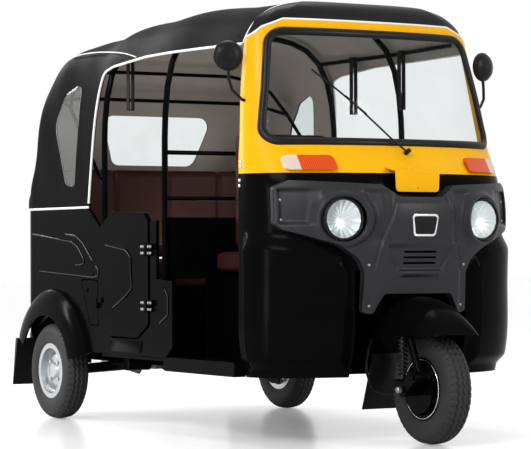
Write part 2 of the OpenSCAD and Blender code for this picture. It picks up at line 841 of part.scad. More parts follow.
module wiper() {
    pivot_x = skin_x(front_skin, wiper_pivot[0], wiper_pivot[1], 0);
    color(rubber) union() {
        sweep(on_glass(wiper_pivot, wiper_mid, 4, 22), 4, [1, 0, 0], 6);
        sweep(on_glass(blade_low, blade_top, 6, 17), 4, [1, 0, 0], 6);
        translate([pivot_x + 3, wiper_pivot[0], wiper_pivot[1]]) rotate([0, 66, 0])
            cylinder(r = 9, h = 26);
    }
}

mirror_y = body_half - 8;
mirror_fx = -482;
mirror_z = screen_low_z + 337;
mirror_r = 58;

module mirrors() {
    base = skin_point(front_skin, mirror_z - 170, 82, -0.7);
    square_out = unit([0.23, 1, 0.15]);
    color(rubber) both_sides() union() {
        sweep([
            base, base + 9 * square_out, base + 17 * square_out + [-2, 0, 4],
            [front(-466), mirror_y - 8, mirror_z - 131], [front(-478), mirror_y, mirror_z - 89],
            [front(mirror_fx), mirror_y, mirror_z - mirror_r + 8]
        ], 6, [1, 0, 0], 8);
        translate([front(mirror_fx), mirror_y, mirror_z]) rotate([0, 90, 15]) rotate_extrude()
            polygon([
                [0, -9], [mirror_r - 4, -9], [mirror_r, -5], [mirror_r, 2],
                [mirror_r - 8, 13], [30, 22], [0, 25]
            ]);
    }
}

// Canopy
cap_steps = 36;
// How far the cap's sheet runs past the brow before it is cut along it
cap_lap = 6;
function brow_height(y) = lookup(abs(y), brow_line);
function cap_low(k) =
    let (
        a = -86 + 172 * k / cap_steps,
        z = brow_height(skin_point(front_skin, brow_z - 36, a, 0)[1]) - cap_lap
    )
    skin_point(front_skin, z, a, 0);
function cap_high(k) =
    let (row = canopy_inset(0)[len(canopy_line) - 1])
    canopy_section(row, 130.5 - 81 * k / cap_steps) + [fit, 0, 0];
cap_bulge = 34;
function cap_point(k, v, t) =
    let (
        p = cap_low(k) * (1 - v) + cap_high(k) * v + cap_bulge * 4 * v * (1 - v) * [0.5, 0, 0.75],
        way = unit([(1 - v) * (p[0] - front(-750)), (1 - v) * p[1] * 0.6, v * 300])
    )
    p - t * way;
cap_rows = 5;
function cap_grid(t) = [for (i = [0:cap_rows]) [for (k = [0:cap_steps]) cap_point(k, i / cap_rows, t)]];

module roof_cap() {
    color(rubber) intersection() {
        sheet(cap_grid(0), cap_grid(canopy_t));
        over_brow(-fit);
    }
}

module side_window_cut(d) {
    side_prism(-900, 900) polygon(rounded(grown(quarter_window, d), 5));
}

module rear_window_cut(d) {
    front_prism(tail_x - 100, -90) polygon(rounded(grown(rear_window, d), 5));
}

module canopy() {
    color(rubber) difference() {
        sheet(canopy_grid(0), canopy_grid(canopy_t));
        side_prism(-900, 900) polygon(rounded(side_opening));
        side_window_cut(0);
        rear_window_cut(0);
    }
}

// A patch of the canopy: its rows and its columns, each from first to last
function canopy_patch(inset, rows, cols) =
    let (grid = canopy_grid(inset)) [for (i = [rows[0]:rows[1]]) [for (j = [cols[0]:cols[1]]) grid[i][j]]];
side_cols = round(canopy_steps * 0.3);

module canopy_windows() {
    color(clear) union() {
        for (cols = [[0, side_cols], [canopy_steps - side_cols, canopy_steps]])
            intersection() {
                sheet(canopy_patch(3, [7, 10], cols), canopy_patch(7, [7, 10], cols));
                side_window_cut(-fit);
            }
        intersection() {
            sheet(
                canopy_patch(3, [2, 6], [side_cols, canopy_steps - side_cols]),
                canopy_patch(7, [2, 6], [side_cols, canopy_steps - side_cols])
            );
            rear_window_cut(-fit);
        }
    }
}

hoop_inset = canopy_t + tube_r + 6;
hoop_x = [430, 965];
post_y = body_half - panel_t - tube_r - 3;
rail_drop = 163;
rail_height = roof_z - rail_drop;
guard_rail_z = [934, 1117];

function hoop_path(x) =
    let (
        row = canopy_row(x, hoop_inset),
        arch = [for (k = [2:26])
            let (p = canopy_section(row, 180 * k / 28)) [x, min(max(p[1], -post_y), post_y), p[2]]]
    )
    concat([[x, post_y, floor_z + fit]], arch, [[x, -post_y, floor_z + fit]]);
// Place across of a rail at a station, where the hoop's section has the rail's height
function rail_at(x) =
    let (
        row = canopy_row(x, hoop_inset),
        high = (rail_height - canopy_base_z) / (row[1] - canopy_base_z)
    )
    [x, -(body_half - row[2]) * pow(1 - pow(high, canopy_squareness), 1 / canopy_squareness), rail_height];
rail_points = [for (x = [hoop_x[0], hoop_x[1], front(-520)]) rail_at(x)];
rail_r = 9;
bow_r = 8;
bow_pivot = [60, 52 - body_half, crown(0.548)];
// Right half of each rear bow from the middle out: station, place across, height
bow_halves = [
    [[-28, 300 - body_half, crown(0.761)], [-24, 160 - body_half, crown(0.731)],
        [-5, 100 - body_half, crown(0.676)]],
    [[-108, 200 - body_half, crown(0.6165)], [-100, 130 - body_half, crown(0.609)],
        [-70, 80 - body_half, crown(0.5915)]]
];
function opposite(p) = [p[0], -p[1], p[2]];

module canopy_rail(r) {
    for (i = [0:len(rail_points) - 2])
        rod(rail_points[i], rail_points[i + 1], r);
}

module canopy_frame() {
    color(rubber) union() {
        for (x = hoop_x)
            sweep(hoop_path(x), tube_r, [1, 0, 0], 10);
        both_sides() {
            canopy_rail(rail_r);
            rod(bow_pivot, [hoop_x[0], -post_y, waist_z + 80], bow_r);
        }
        for (z = guard_rail_z)
            rod([hoop_x[1], -post_y, z], [hoop_x[1], post_y, z], rail_r);
        for (half = bow_halves)
            sweep(concat(
                [bow_pivot], [for (i = [len(half) - 1:-1:0]) half[i]],
                [for (p = half) opposite(p)], [opposite(bow_pivot)]
            ), bow_r, [0, 0.3, 1], 8);
    }
}

// Straps: station, side
straps = [[520, -1], [700, 1], [1075, 1]];
strap_w = 24;
strap_t = 4;
strap_drop = 235;

module grab_straps() {
    out = rail_r + strap_t;
    color(rubber) difference() {
        for (s = straps)
            translate([s[0], -s[1] * lookup(s[0], column(rail_points, 1)), rail_height]) difference() {
                box([-strap_w / 2, -out, -strap_drop], [strap_w / 2, out, out]);
                box([-strap_w, -rail_r, strap_t - strap_drop], [strap_w, rail_r, -30]);
            }
        both_sides() canopy_rail(rail_r + fit);
    }
}

// Inside
module partition() {
    half = post_y - tube_r - 2;
    color(grey_plastic) union() {
        box([hoop_x[1] - 8, -half, 612], [hoop_x[1] + 8, half, 858]);
        box([hoop_x[1] - 8, -381, floor_z + fit], [hoop_x[1] + 8, 381, 613]);
        box([hoop_x[1] - 8, -half, floor_z + fit], [hoop_x[1] + 8, -half + 30, 613]);
        box([hoop_x[1] - 8, half - 30, floor_z + fit], [hoop_x[1] + 8, half, 613]);
        both_sides() for (outline = partition_press)
            front_prism(hoop_x[1] + 7, hoop_x[1] + 8 + partition_press_h) polygon(rounded(outline));
    }
}

driver_y = -60;
driver_rear_x = hoop_x[1] + 12;
driver_seat_z = 640;
driver_top_z = 720;

module driver_seat_base() {
    color(black_paint) difference() {
        box([driver_rear_x, driver_y - 250, floor_z + fit],
            [driver_rear_x + 330, driver_y + 250, driver_seat_z]);
        box([driver_rear_x - 1, driver_y - 235, floor_z + 20],
            [driver_rear_x + 315, driver_y + 235, driver_seat_z - 15]);
    }
}

module driver_cushion() {
    color(brown_vinyl)
        side_prism(driver_y - 310, driver_y + 310)
            polygon(rounded([
                [driver_rear_x, driver_seat_z + fit, 20], [driver_rear_x + 390, driver_seat_z + fit, 25],
                [driver_rear_x + 390, driver_top_z, 35], [driver_rear_x, driver_top_z, 20]
            ]));
}

module driver_backrest() {
    color(brown_vinyl)
        side_prism(driver_y - 215, driver_y + 215)
            polygon(rounded([
                [driver_rear_x + 2, driver_top_z + fit, 12], [driver_rear_x + 92, driver_top_z + fit, 12],
                [driver_rear_x + 76, 1208, 32], [driver_rear_x + 2, 1208, 32]
            ]));
}

seat_rear_x = -185;
seat_front_x = 445;
seat_low_z = 482;
seat_top_z = 560;
bench_top_z = 690;
seat_half = post_y - tube_r - 6;

module passenger_seat_base() {
    color(black_paint) union() {
        box([seat_rear_x, -462, seat_low_z], [floor_rear_x - 1, 462, seat_top_z]);
        box([floor_rear_x - 16, -462, floor_low_z + fit], [floor_rear_x - fit, 462, seat_top_z]);
    }
}

module passenger_cushion() {
    color(brown_vinyl)
        side_prism(-seat_half, seat_half)
            polygon(rounded([
                [seat_rear_x, seat_top_z + fit, 20], [seat_front_x, seat_top_z + fit, 30],
                [seat_front_x, bench_top_z, 50], [seat_rear_x, bench_top_z, 20]
            ]));
}

module passenger_backrest() {
    back_top_z = 1100;
    color(brown_vinyl)
        side_prism(-seat_half + 24, seat_half - 24)
            polygon(rounded([
                [seat_rear_x, bench_top_z + fit, 10], [seat_rear_x + 115, bench_top_z + fit, 20],
                [seat_rear_x + 85, back_top_z, 40], [seat_rear_x - 3, back_top_z, 40]
            ]));
}

module dashboard() {
    color(grey_plastic) intersection() {
        skin_block(front_skin, 900, 980, shell_t + 0.6);
        difference() {
            box([front(-300), -700, 925], [front(0), 700, 945]);
            along_stem(800) cylinder(r = stem_r + 20, h = 300);
        }
    }
}

// Under the body
engine_rear_x = -180;
engine_half = 170;
silencer_x = -238;
silencer_z = 266;

module engine_block() {
    color(steel)
        side_prism(-engine_half, engine_half)
            polygon(rounded([
                [engine_rear_x, 205, 30], [engine_front_x, 205, 30],
                [engine_front_x, 470, 20], [engine_rear_x, 470, 20]
            ]));
}

module silencer() {
    color(steel) union() {
        translate([silencer_x, -240, silencer_z]) rotate([-90, 0, 0]) cylinder(r = 50, h = 380);
        rod([silencer_x, -60, silencer_z], [engine_rear_x - fit, -60, silencer_z], 16);
        rod([silencer_x - 12, 130, silencer_z - 36], [tail_x - 5, 160, silencer_z - 66], 14);
    }
}

hub_y = wheel_y - 66;
// Brake plate in to the middle of a rear spring
spring_in = 46;

module rear_arm() {
    color(black_paint) union() {
        translate([arm_pivot_x, -rail_y - rail_half - fit, arm_pivot_z]) rotate([90, 0, 0])
            cylinder(r = 28, h = 105);
        rod([arm_pivot_x, -rail_y - 75, arm_pivot_z], [30, -hub_y + 18, axle_z + 5], 22);
        translate([0, -hub_y + 48, axle_z]) rotate([90, 0, 0]) cylinder(r = 44, h = 44);
        translate([0, -hub_y + 6, axle_z]) rotate([90, 0, 0]) cylinder(r = 92, h = 6);
        translate([0, -hub_y + 1, axle_z]) rotate([90, 0, 0]) cylinder(r = 12, h = 78);
        box([-20, -hub_y + 8, axle_z + 30], [20, -hub_y + spring_in + 32, axle_z + 66]);
    }
}

module rear_arm_right() {
    rear_arm();
}

module rear_arm_left() {
    mirror([0, 1, 0]) rear_arm();
}

module drive_shafts() {
    color(steel) both_sides()
        translate([0, -engine_half - fit, axle_z + 8]) rotate([90, 0, 0]) union() {
            cylinder(r = 12, h = hub_y - 48 - engine_half - 2 * fit);
            translate([0, 0, 20]) cylinder(r1 = 36, r2 = 16, h = 60);
        }
}

function helix(r, h, turns, per_turn) =
    [for (k = [0:turns * per_turn])
        [r * cos(360 * k / per_turn), r * sin(360 * k / per_turn), h * k / (turns * per_turn)]];

module rear_springs() {
    low_z = axle_z + 66 + fit;
    color(rubber) both_sides()
        translate([0, -hub_y + spring_in, low_z]) union() {
            sweep([for (p = helix(24, 196, 5, 9)) p + [0, 0, 6]], 5, [0, 0, 1], 6);
            cylinder(r = 15, h = seat_low_z - low_z - fit);
            cylinder(r = 32, h = 8);
        }
}

// Steering
function leg_point(z) = [front(pivot_fx) - (z - pivot_z) * tan(rake), -leg_y, z];

module steering_column() {
    yoke = leg_point(yoke_z) - [stem_x(yoke_z), 0, yoke_z];
    color(black_paint) union() {
        along_stem(stem_low_z) cylinder(r = stem_r, h = (stem_top_z - stem_low_z) / cos(rake));
        translate([stem_x(yoke_z), 0, yoke_z]) rotate([0, 0, atan2(yoke[1], yoke[0])])
            translate([0, -yoke_w / 2, -yoke_h / 2]) cube([norm(yoke) + 4, yoke_w, yoke_h]);
        rod(leg_point(pivot_z), leg_point(yoke_z + 12), leg_r);
        translate([front(pivot_fx), -leg_y + boss_half, pivot_z]) rotate([90, 0, 0])
            cylinder(r = 21, h = 2 * boss_half);
        rod(leg_point(spring_pin_z), [front(spring_fx), -leg_y, spring_pin_z], spring_pin_r);
    }
}

link_y = -leg_y - boss_half - fit;
link_t = 20;

module front_link() {
    color(black_paint) union() {
        side_prism(link_y - link_t, link_y) union() {
            translate([front(pivot_fx), pivot_z]) circle(r = 20);
            translate([front(0), axle_z]) circle(r = 27);
            translate([front(spring_fx), axle_z + 20]) circle(r = spring_seat_r);
            polygon([
                [front(pivot_fx) - 8, pivot_z + 16], [front(0) - 12, axle_z + 21],
                [front(0) + 14, axle_z - 20], [front(pivot_fx) + 10, pivot_z - 15]
            ]);
            polygon([
                [front(0) + 5, axle_z + 24], [front(spring_fx), axle_z + 36],
                [front(spring_fx), axle_z + 4], [front(0) - 6, axle_z - 23]
            ]);
        }
        translate([front(spring_fx), link_y - 1, axle_z + 20]) rotate([-90, 0, 0])
            cylinder(r = spring_seat_r, h = 34);
        translate([front(0), link_y - link_t - 12, axle_z]) rotate([-90, 0, 0]) cylinder(r = 10, h = 150);
        translate([front(0), link_y - 1, axle_z]) rotate([-90, 0, 0]) cylinder(r = 24, h = -link_y - 58);
        translate([front(0), -62, axle_z]) rotate([-90, 0, 0]) cylinder(r = 92, h = 8);
        translate([front(pivot_fx), link_y - link_t - 6, pivot_z]) rotate([-90, 0, 0])
            cylinder(r = 11, h = 8, $fn = 6);
    }
}

spring_low_z = axle_z + 20 + spring_seat_r + fit;
spring_h = spring_pin_z - spring_pin_r - fit - spring_low_z;

module front_spring() {
    color(rubber) translate([front(spring_fx), -leg_y, spring_low_z]) union() {
        cylinder(r = 18, h = 5);
        cylinder(r = 8, h = spring_h);
        translate([0, 0, spring_h - 40]) cylinder(r = 12, h = 36);
        sweep([for (p = helix(15.5, spring_h - 14, 9, 8)) p + [0, 0, 6]], 3.5, [0, 0, 1], 6);
    }
}

// Brake hose: station from the front axle, place across, height
hose_r = 5;
hose_route = [
    [-210, -128.2, 390], [-236, -128.2, 345], [-252, -127, 300], [-258, -119, 255], [-246, -112, 215],
    [-214, -109, 192], [-168, -105, 184], [-126, -96, 188], [-98, -82, 196], [-78, -66.6, 204]
];

module brake_hose() {
    color(rubber) sweep([for (p = hose_route) [front(p[0]), p[1], p[2]]], hose_r, [0, 1, 0.2], 8);
}

module front_mudguard() {
    flap_top = [front(-262), 296];
    color(black_paint) difference() {
        union() {
            sheet(mudguard_grid(0), mudguard_grid(mudguard_t));
            side_prism(-100, 100)
                polygon([
                    [front(-259), 330], flap_top, [front(-326), 116], [front(-320), 114],
                    [front(-254), 300], [front(-252), 330]
                ]);
        }
        along_stem(yoke_z) cylinder(r = stem_r + fit, h = 300);
    }
}

bar_z = 1024;
bar_sweep = 85;
lever_sweep = 45;

module handlebar() {
    hub = [stem_x(bar_z), 0, bar_z];
    cluster = [
        [stem_x(bar_z) - 70, bar_z + 10, 20], [stem_x(bar_z) + 60, bar_z + 10, 20],
        [stem_x(bar_z) + 45, bar_z + 100, 30], [stem_x(bar_z) - 50, bar_z + 78, 20]
    ];
    function along_bar(share) = hub + share * [-bar_sweep, -bar_half, 10];
    color(rubber) union() {
        along_stem(stem_top_z + fit) cylinder(r = 30, h = 40);
        side_prism(-100, 100) polygon(rounded(cluster));
        both_sides() {
            rod(hub, along_bar(1), 11);
            rod(along_bar(0.62), along_bar(1), 17);
            rod(along_bar(0.48), along_bar(0.52) + [bar_sweep - lever_sweep, 0, 1], 7);
            rod(along_bar(0.52) + [bar_sweep - lever_sweep - 4, 0, 1], along_bar(0.95) + [36, 0, -5], 5);
        }
    }
}

// Wheels, with the outer side along +z of the profile
tyre_profile = [
    [rim_r - 15, -40], [rim_r, -40], [rim_r + 10, 6 - tyre_half], [tyre_r * 0.73, -tyre_half],
    [tyre_r - 26, 4 - tyre_half], [tyre_r - 12, 10 - tyre_half], [tyre_r - 4, 20 - tyre_half]
];
groove_w = 6;
groove_d = 6;
groove_y = [-22, 0, 22];
tread_points = [for (y = groove_y) each [
    [tyre_r - abs(y) / 11, y - groove_w / 2], [tyre_r - groove_d - 1, y - groove_w / 2 + 1],
    [tyre_r - groove_d - 1, y + groove_w / 2 - 1], [tyre_r - abs(y) / 11, y + groove_w / 2]
]];

module tyre() {
    other_side = [for (i = [len(tyre_profile) - 1:-1:0]) [tyre_profile[i][0], -tyre_profile[i][1]]];
    color(rubber) rotate([90, 0, 0]) rotate_extrude($fn = 96)
        polygon(concat(tyre_profile, tread_points, other_side));
}

// Rim barrel: radius, place along the axle
barrel = [
    [rim_r - 21, -45], [rim_r, -45], [rim_r, -40 - fit], [rim_r - 15 - fit, -40 - fit],
    [rim_r - 15 - fit, 40 + fit], [rim_r, 40 + fit], [rim_r, 45], [rim_r - 21, 45]
];

module rim(bore_r, bore_end, hub_in, paint) {
    color(paint) rotate([90, 0, 0]) difference() {
        union() {
            rotate_extrude($fn = 96) polygon(barrel);
            rotate_extrude($fn = 96)
                polygon([
                    [0, hub_in], [36, hub_in], [36, 8], [62, 8], [86, -2], [rim_r - 20, -4],
                    [rim_r - 20, 4], [84, 8], [64, 20], [36, 22], [30, 34], [0, 36]
                ]);
            for (k = [0:3])
                rotate([0, 0, 45 + 90 * k]) translate([50, 0, 18]) cylinder(r = 10, h = 13, $fn = 6);
        }
        translate([0, 0, hub_in - 1]) cylinder(r = bore_r, h = bore_end - hub_in + 1);
        for (k = [0:7])
            rotate([0, 0, 22.5 + 45 * k]) translate([78, 0, -20]) cylinder(r = 7, h = 60);
    }
}

module rear_tyre_right() {
    translate([0, -wheel_y, axle_z]) tyre();
}

module rear_tyre_left() {
    translate([0, wheel_y, axle_z]) tyre();
}

module rear_rim_right() {
    translate([0, -wheel_y, axle_z]) rim(12 + fit, 14, -60, steel);
}

module rear_rim_left() {
    translate([0, wheel_y, axle_z]) mirror([0, 1, 0]) rim(12 + fit, 14, -60, steel);
}

module front_tyre() {
    translate([front(0), 0, axle_z]) tyre();
}

module front_rim() {
    translate([front(0), 0, axle_z]) mirror([0, 1, 0]) rim(10 + fit, 20, -48, black_paint);
}

from_axle() floor_pan();
from_axle() underframe();
from_axle() front_cowl();
from_axle() windscreen_frame();
from_axle() windscreen_gasket();
from_axle() windscreen_glass();
from_axle() side_panel_right();
from_axle() side_panel_left();
from_axle() rear_panel();
from_axle() wheel_arches();
from_axle() mud_flaps();
from_axle() rear_bumper();
from_axle() tail_lamps();
from_axle() lamp_fascia();
from_axle() badge_plate();
from_axle() headlamps();
from_axle() front_indicators();
from_axle() wiper();
from_axle() mirrors();
from_axle() roof_cap();
from_axle() canopy();
from_axle() canopy_windows();
from_axle() canopy_frame();
from_axle() grab_straps();
from_axle() partition();
from_axle() driver_seat_base();
from_axle() driver_cushion();
from_axle() driver_backrest();
from_axle() passenger_seat_base();
from_axle() passenger_cushion();
from_axle() passenger_backrest();
from_axle() dashboard();
from_axle() engine_block();
from_axle() silencer();
from_axle() rear_arm_right();
from_axle() rear_arm_left();
from_axle() drive_shafts();
from_axle() rear_springs();
from_axle() door_right();
from_axle() access_flap();
from_axle() engine_hatch();
from_axle() steering_column();
from_axle() handlebar();
from_axle() front_link();
from_axle() front_spring();
from_axle() front_mudguard();
from_axle() brake_hose();
from_axle() front_tyre();
from_axle() front_rim();
from_axle() rear_tyre_right();
from_axle() rear_rim_right();
from_axle() rear_tyre_left();
from_axle() rear_rim_left();
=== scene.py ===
# Auto rickshaw: paint, vinyl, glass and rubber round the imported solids
import math

import bmesh
import bpy
import numpy as np
from mathutils import Matrix, Vector


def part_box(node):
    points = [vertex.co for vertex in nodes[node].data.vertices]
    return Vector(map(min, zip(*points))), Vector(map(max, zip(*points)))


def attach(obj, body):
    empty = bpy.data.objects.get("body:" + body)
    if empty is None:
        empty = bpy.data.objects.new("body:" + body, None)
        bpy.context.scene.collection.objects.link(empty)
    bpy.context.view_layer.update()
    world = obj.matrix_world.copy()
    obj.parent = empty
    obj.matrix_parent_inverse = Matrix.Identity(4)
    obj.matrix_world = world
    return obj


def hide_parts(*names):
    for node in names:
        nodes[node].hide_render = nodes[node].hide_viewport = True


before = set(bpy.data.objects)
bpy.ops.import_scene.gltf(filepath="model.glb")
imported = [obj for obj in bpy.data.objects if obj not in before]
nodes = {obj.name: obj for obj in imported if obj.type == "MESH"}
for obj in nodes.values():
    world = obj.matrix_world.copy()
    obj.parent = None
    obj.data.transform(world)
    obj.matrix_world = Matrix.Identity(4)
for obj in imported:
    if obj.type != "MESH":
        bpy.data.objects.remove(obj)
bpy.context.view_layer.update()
scene = bpy.context.scene


def middleOf(node):
    low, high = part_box(node)
    return (low + high) / 2


rearAxle = middleOf("rear_tyre_right")
frontAxle = middleOf("front_tyre")
bodyHalf = 0.6
fullTurn = 2 * math.pi
print("frame loaded:", len(nodes), "nodes")


# shader maths: a wire is a socket that adds Math nodes by Python's operators
class Wire:
    def __init__(self, tree, socket=None):
        self.tree = tree
        self.socket = socket

    def node(self, kind, settings={}, sockets={}, out=0):
        made = self.tree.nodes.new("ShaderNode" + kind)
        for key, value in settings.items():
            setattr(made, key, value)
        for key, value in sockets.items():
            if isinstance(value, Wire):
                self.tree.links.new(value.socket, made.inputs[key])
            else:
                made.inputs[key].default_value = value
        return Wire(self.tree, made.outputs[out])

    def maths(self, operation, a, b=0.0):
        return self.node("Math", {"operation": operation}, {0: a, 1: b})

    def __add__(self, other):
        return self.maths("ADD", self, other)

    def __sub__(self, other):
        return self.maths("SUBTRACT", self, other)

    def __rsub__(self, other):
        return self.maths("SUBTRACT", other, self)

    def __mul__(self, other):
        return self.maths("MULTIPLY", self, other)

    def __abs__(self):
        return self.maths("ABSOLUTE", self)

    __radd__ = __add__
    __rmul__ = __mul__

    def rise(self, start, end):  # smooth step from 0 at start to 1 at end
        sockets = {"Value": self, "From Min": start, "From Max": end}
        return self.node("MapRange", {"interpolation_type": "SMOOTHSTEP"}, sockets)


# a finish starts as a Principled shader, and its pattern comes from object coordinates
class Finish:
    def __init__(self, name, colour, roughness, **plain):
        self.material = bpy.data.materials.new(name)
        self.material.use_nodes = True
        self.tree = self.material.node_tree
        self.shader = self.tree.nodes["Principled BSDF"]
        self.start = Wire(self.tree)
        self.own = Wire(self.tree, self.shader.outputs[0])
        self.shader.inputs["Base Color"].default_value = (*colour, 1)
        self.shader.inputs["Roughness"].default_value = roughness
        for key, value in plain.items():
            self.shader.inputs[key.replace("_", " ")].default_value = value
        self.place = self.start.node("TexCoord", out="Object")

    def noise(self, scale, detail=3.0, roughness=0.55):
        sockets = {"Vector": self.place, "Scale": scale, "Detail": detail, "Roughness": roughness}
        return self.start.node("TexNoise", {}, sockets)

    def axes(self):
        parts = self.start.node("SeparateXYZ", {}, {0: self.place})
        return [Wire(self.tree, socket) for socket in parts.socket.node.outputs]

    def mix(self, factor, a, b):
        sockets = {"Factor": factor, 6: a, 7: b}
        return self.start.node("Mix", {"data_type": "RGBA"}, sockets, out=2)

    def feed(self, socket, wire):
        self.tree.links.new(wire.socket, self.shader.inputs[socket])

    def show(self, wire):  # another shader takes the surface
        self.tree.links.new(wire.socket, self.tree.nodes["Material Output"].inputs["Surface"])

    def bump(self, height, strength, distance=0.001):
        made = self.start.node("Bump", {}, {"Height": height, "Strength": strength, "Distance": distance})
        self.feed("Normal", made)


def tint(colour, gain=1.0):
    return (*[channel * gain for channel in colour], 1)


# paint: a colour with a faint orange peel and a little dust in its gloss
def paint(name, colour, gloss, level):
    made = Finish(name, colour, gloss, Specular_IOR_Level=level)
    dust = made.noise(14, 5)
    made.feed("Roughness", dust.rise(0.35, 0.8) * 0.10 + gloss)
    made.feed("Base Color", made.mix(made.noise(3.5, 4), tint(colour, 0.9), tint(colour, 1.12)))
    made.bump(made.noise(420, 2), 0.03)
    return made.material


# moulded plastic, rubber or vinyl: a grain of small cells over a slow change of tone
def moulded(name, colour, gloss, grain, depth, level=0.3):
    made = Finish(name, colour, gloss, Specular_IOR_Level=level)
    cells = made.start.node("TexVoronoi", {}, {"Vector": made.place, "Scale": grain})
    tone = made.noise(5, 5)
    made.feed("Base Color", made.mix(tone, tint(colour, 0.8), tint(colour, 1.2)))
    made.feed("Roughness", made.noise(30, 4) * 0.16 + (gloss - 0.08))
    made.bump(cells + made.noise(grain * 0.5, 3) * 0.5, depth)
    return made.material


# woven cloth: two crossed waves over a slow change of tone
def woven(name, colour, gloss, pitch, depth):
    made = Finish(name, colour, gloss, Specular_IOR_Level=0.2)
    x, y, z = made.axes()
    warp = (x + z) * (fullTurn / pitch)
    weft = (y + z) * (fullTurn / pitch)
    weave = made.start.maths("SINE", warp) * made.start.maths("SINE", weft)
    made.feed("Base Color", made.mix(made.noise(4, 5), tint(colour, 0.82), tint(colour, 1.15)))
    made.bump(weave + made.noise(90, 3), depth)
    return made.material


# metal: a fine streak in its gloss
def metal(name, colour, gloss, scale=60):
    made = Finish(name, colour, gloss, Metallic=1.0)
    streak = made.noise(scale, 6)
    made.feed("Roughness", streak * 0.18 + (gloss - 0.05))
    made.feed("Base Color", made.mix(made.noise(9, 4), tint(colour, 0.86), tint(colour, 1.06)))
    made.bump(made.noise(700, 2), 0.02)
    return made.material


# clear pane: seen through, with a gloss that grows at a glancing angle
def pane(name, colour, gloss, least, haze=0.0):
    made = Finish(name, colour, gloss)
    clear = made.start.node("BsdfTransparent", {}, {"Color": (0.93, 0.95, 0.95, 1)})
    facing = made.start.node("LayerWeight", {}, {"Blend": 0.5}, out="Facing")
    glance = facing * facing * facing * facing * facing
    smear = made.noise(6, 4).rise(0.35, 0.75) * haze
    made.show(made.start.node("MixShader", {}, {0: glance * 0.75 + smear + least, 1: clear, 2: made.own}))
    return made.material


# lamp plastic: ribs across its face, with painted highlight and painted shade banded along them in its colour
def lampPlastic(name, colour, ribs, clearFrom=None):
    made = Finish(name, colour, 0.14, Specular_IOR_Level=0.25)
    y = made.axes()[1]
    wave = made.start.maths("SINE", abs(y) * (fullTurn / ribs)) * 0.5 + 0.5
    # painted highlight and shade: the lens colour runs from 0.7 to 1.25 of itself with the ribs' wave
    body = made.mix(wave, tint(colour, 0.7), tint(colour, 1.25))
    if clearFrom:
        clear = (0.62, 0.50, 0.42, 1)
        body = made.mix(abs(y).rise(clearFrom, clearFrom + 0.003), body, clear)
    made.feed("Base Color", body)
    made.bump(wave, 0.3)
    return made.material


blackPaint = paint("blackPaint", (0.002, 0.002, 0.0023), 0.15, 0.017)
# a lighter, glossier copy of the black paint: painted sheen for the pressed lines and the springs
paintedSheenBlack = paint("paintedSheenBlack", (0.006, 0.006, 0.0065), 0.22, 0.3)
yellowPaint = paint("yellowPaint", (0.80, 0.40, 0.0015), 0.24, 0.1)
greyPlastic = moulded("greyPlastic", (0.017, 0.017, 0.0195), 0.38, 900, 0.05, 0.2)
darkPlastic = moulded("darkPlastic", (0.006, 0.006, 0.0065), 0.34, 700, 0.06, 0.14)
blackRubber = moulded("blackRubber", (0.005, 0.005, 0.0055), 0.36, 500, 0.05, 0.16)
tyreRubber = moulded("tyreRubber", (0.020, 0.020, 0.020), 0.6, 420, 0.12, 0.25)
canopyVinyl = moulded("canopyVinyl", (0.0022, 0.0022, 0.0024), 0.5, 650, 0.10, 0.025)
canopyLining = woven("canopyLining", (0.40, 0.355, 0.32), 0.85, 0.004, 0.12)
seatVinyl = moulded("seatVinyl", (0.034, 0.0105, 0.008), 0.42, 330, 0.14, 0.12)
webbing = woven("webbing", (0.010, 0.010, 0.010), 0.7, 0.003, 0.2)
whitePiping = moulded("whitePiping", (0.82, 0.82, 0.80), 0.42, 260, 0.06)
silverSteel = metal("silverSteel", (0.56, 0.57, 0.58), 0.36)
bareSteel = metal("bareSteel", (0.30, 0.30, 0.31), 0.42)
chromePlate = metal("chromePlate", (0.78, 0.79, 0.80), 0.10, 30)
lampMirror = metal("lampMirror", (0.95, 0.96, 0.97), 0.3, 14)
screenGlass = pane("screenGlass", (0.02, 0.025, 0.025), 0.03, 0.03, 0.02)
clearVinyl = pane("clearVinyl", (0.62, 0.63, 0.62), 0.2, 0.05, 0.03)
lampGlass = pane("lampGlass", (0.55, 0.56, 0.57), 0.04, 0.02, 0.02)
amberLens = lampPlastic("amberLens", (0.60, 0.060, 0.0005), 0.007, 0.430)
redLens = lampPlastic("redLens", (0.42, 0.008, 0.008), 0.009)
print("finishes made:", len(bpy.data.materials))


# the photograph's camera, worked out from the wheels, lamps and windscreen corners
cameraView = {
    "azimuth": 59.4078, "elevation": -0.6585, "roll": -0.2354,
    "focalPixels": 2292.478, "imageWidth": 531, "sensor": 36.0,
    "place": (9.03809, -4.87695, 0.72234),  # from the middle of the rear axle, on the ground
}


# back, right and up from azimuth and elevation, then turned by the roll
def addCamera(view):
    az, el, roll = (math.radians(view[k]) for k in ("azimuth", "elevation", "roll"))
    back = Vector((math.sin(az) * math.cos(el), -math.cos(az) * math.cos(el), math.sin(el)))
    right = (-back).cross(Vector((0, 0, 1))).normalized()
    up = right.cross(-back)
    turned = math.cos(roll) * right + math.sin(roll) * up
    upright = math.cos(roll) * up - math.sin(roll) * right
    data = bpy.data.cameras.new("photoCamera")
    data.sensor_width = view["sensor"]
    data.lens = view["sensor"] * view["focalPixels"] / view["imageWidth"]
    data.clip_end = 200
    camera = bpy.data.objects.new("photoCamera", data)
    scene.collection.objects.link(camera)
    axes = Matrix((turned, upright, back)).transposed()
    place = Vector(view["place"]) + Vector((rearAxle.x, 0, 0))
    camera.matrix_world = Matrix.Translation(place) @ axes.to_4x4()
    scene.camera = camera


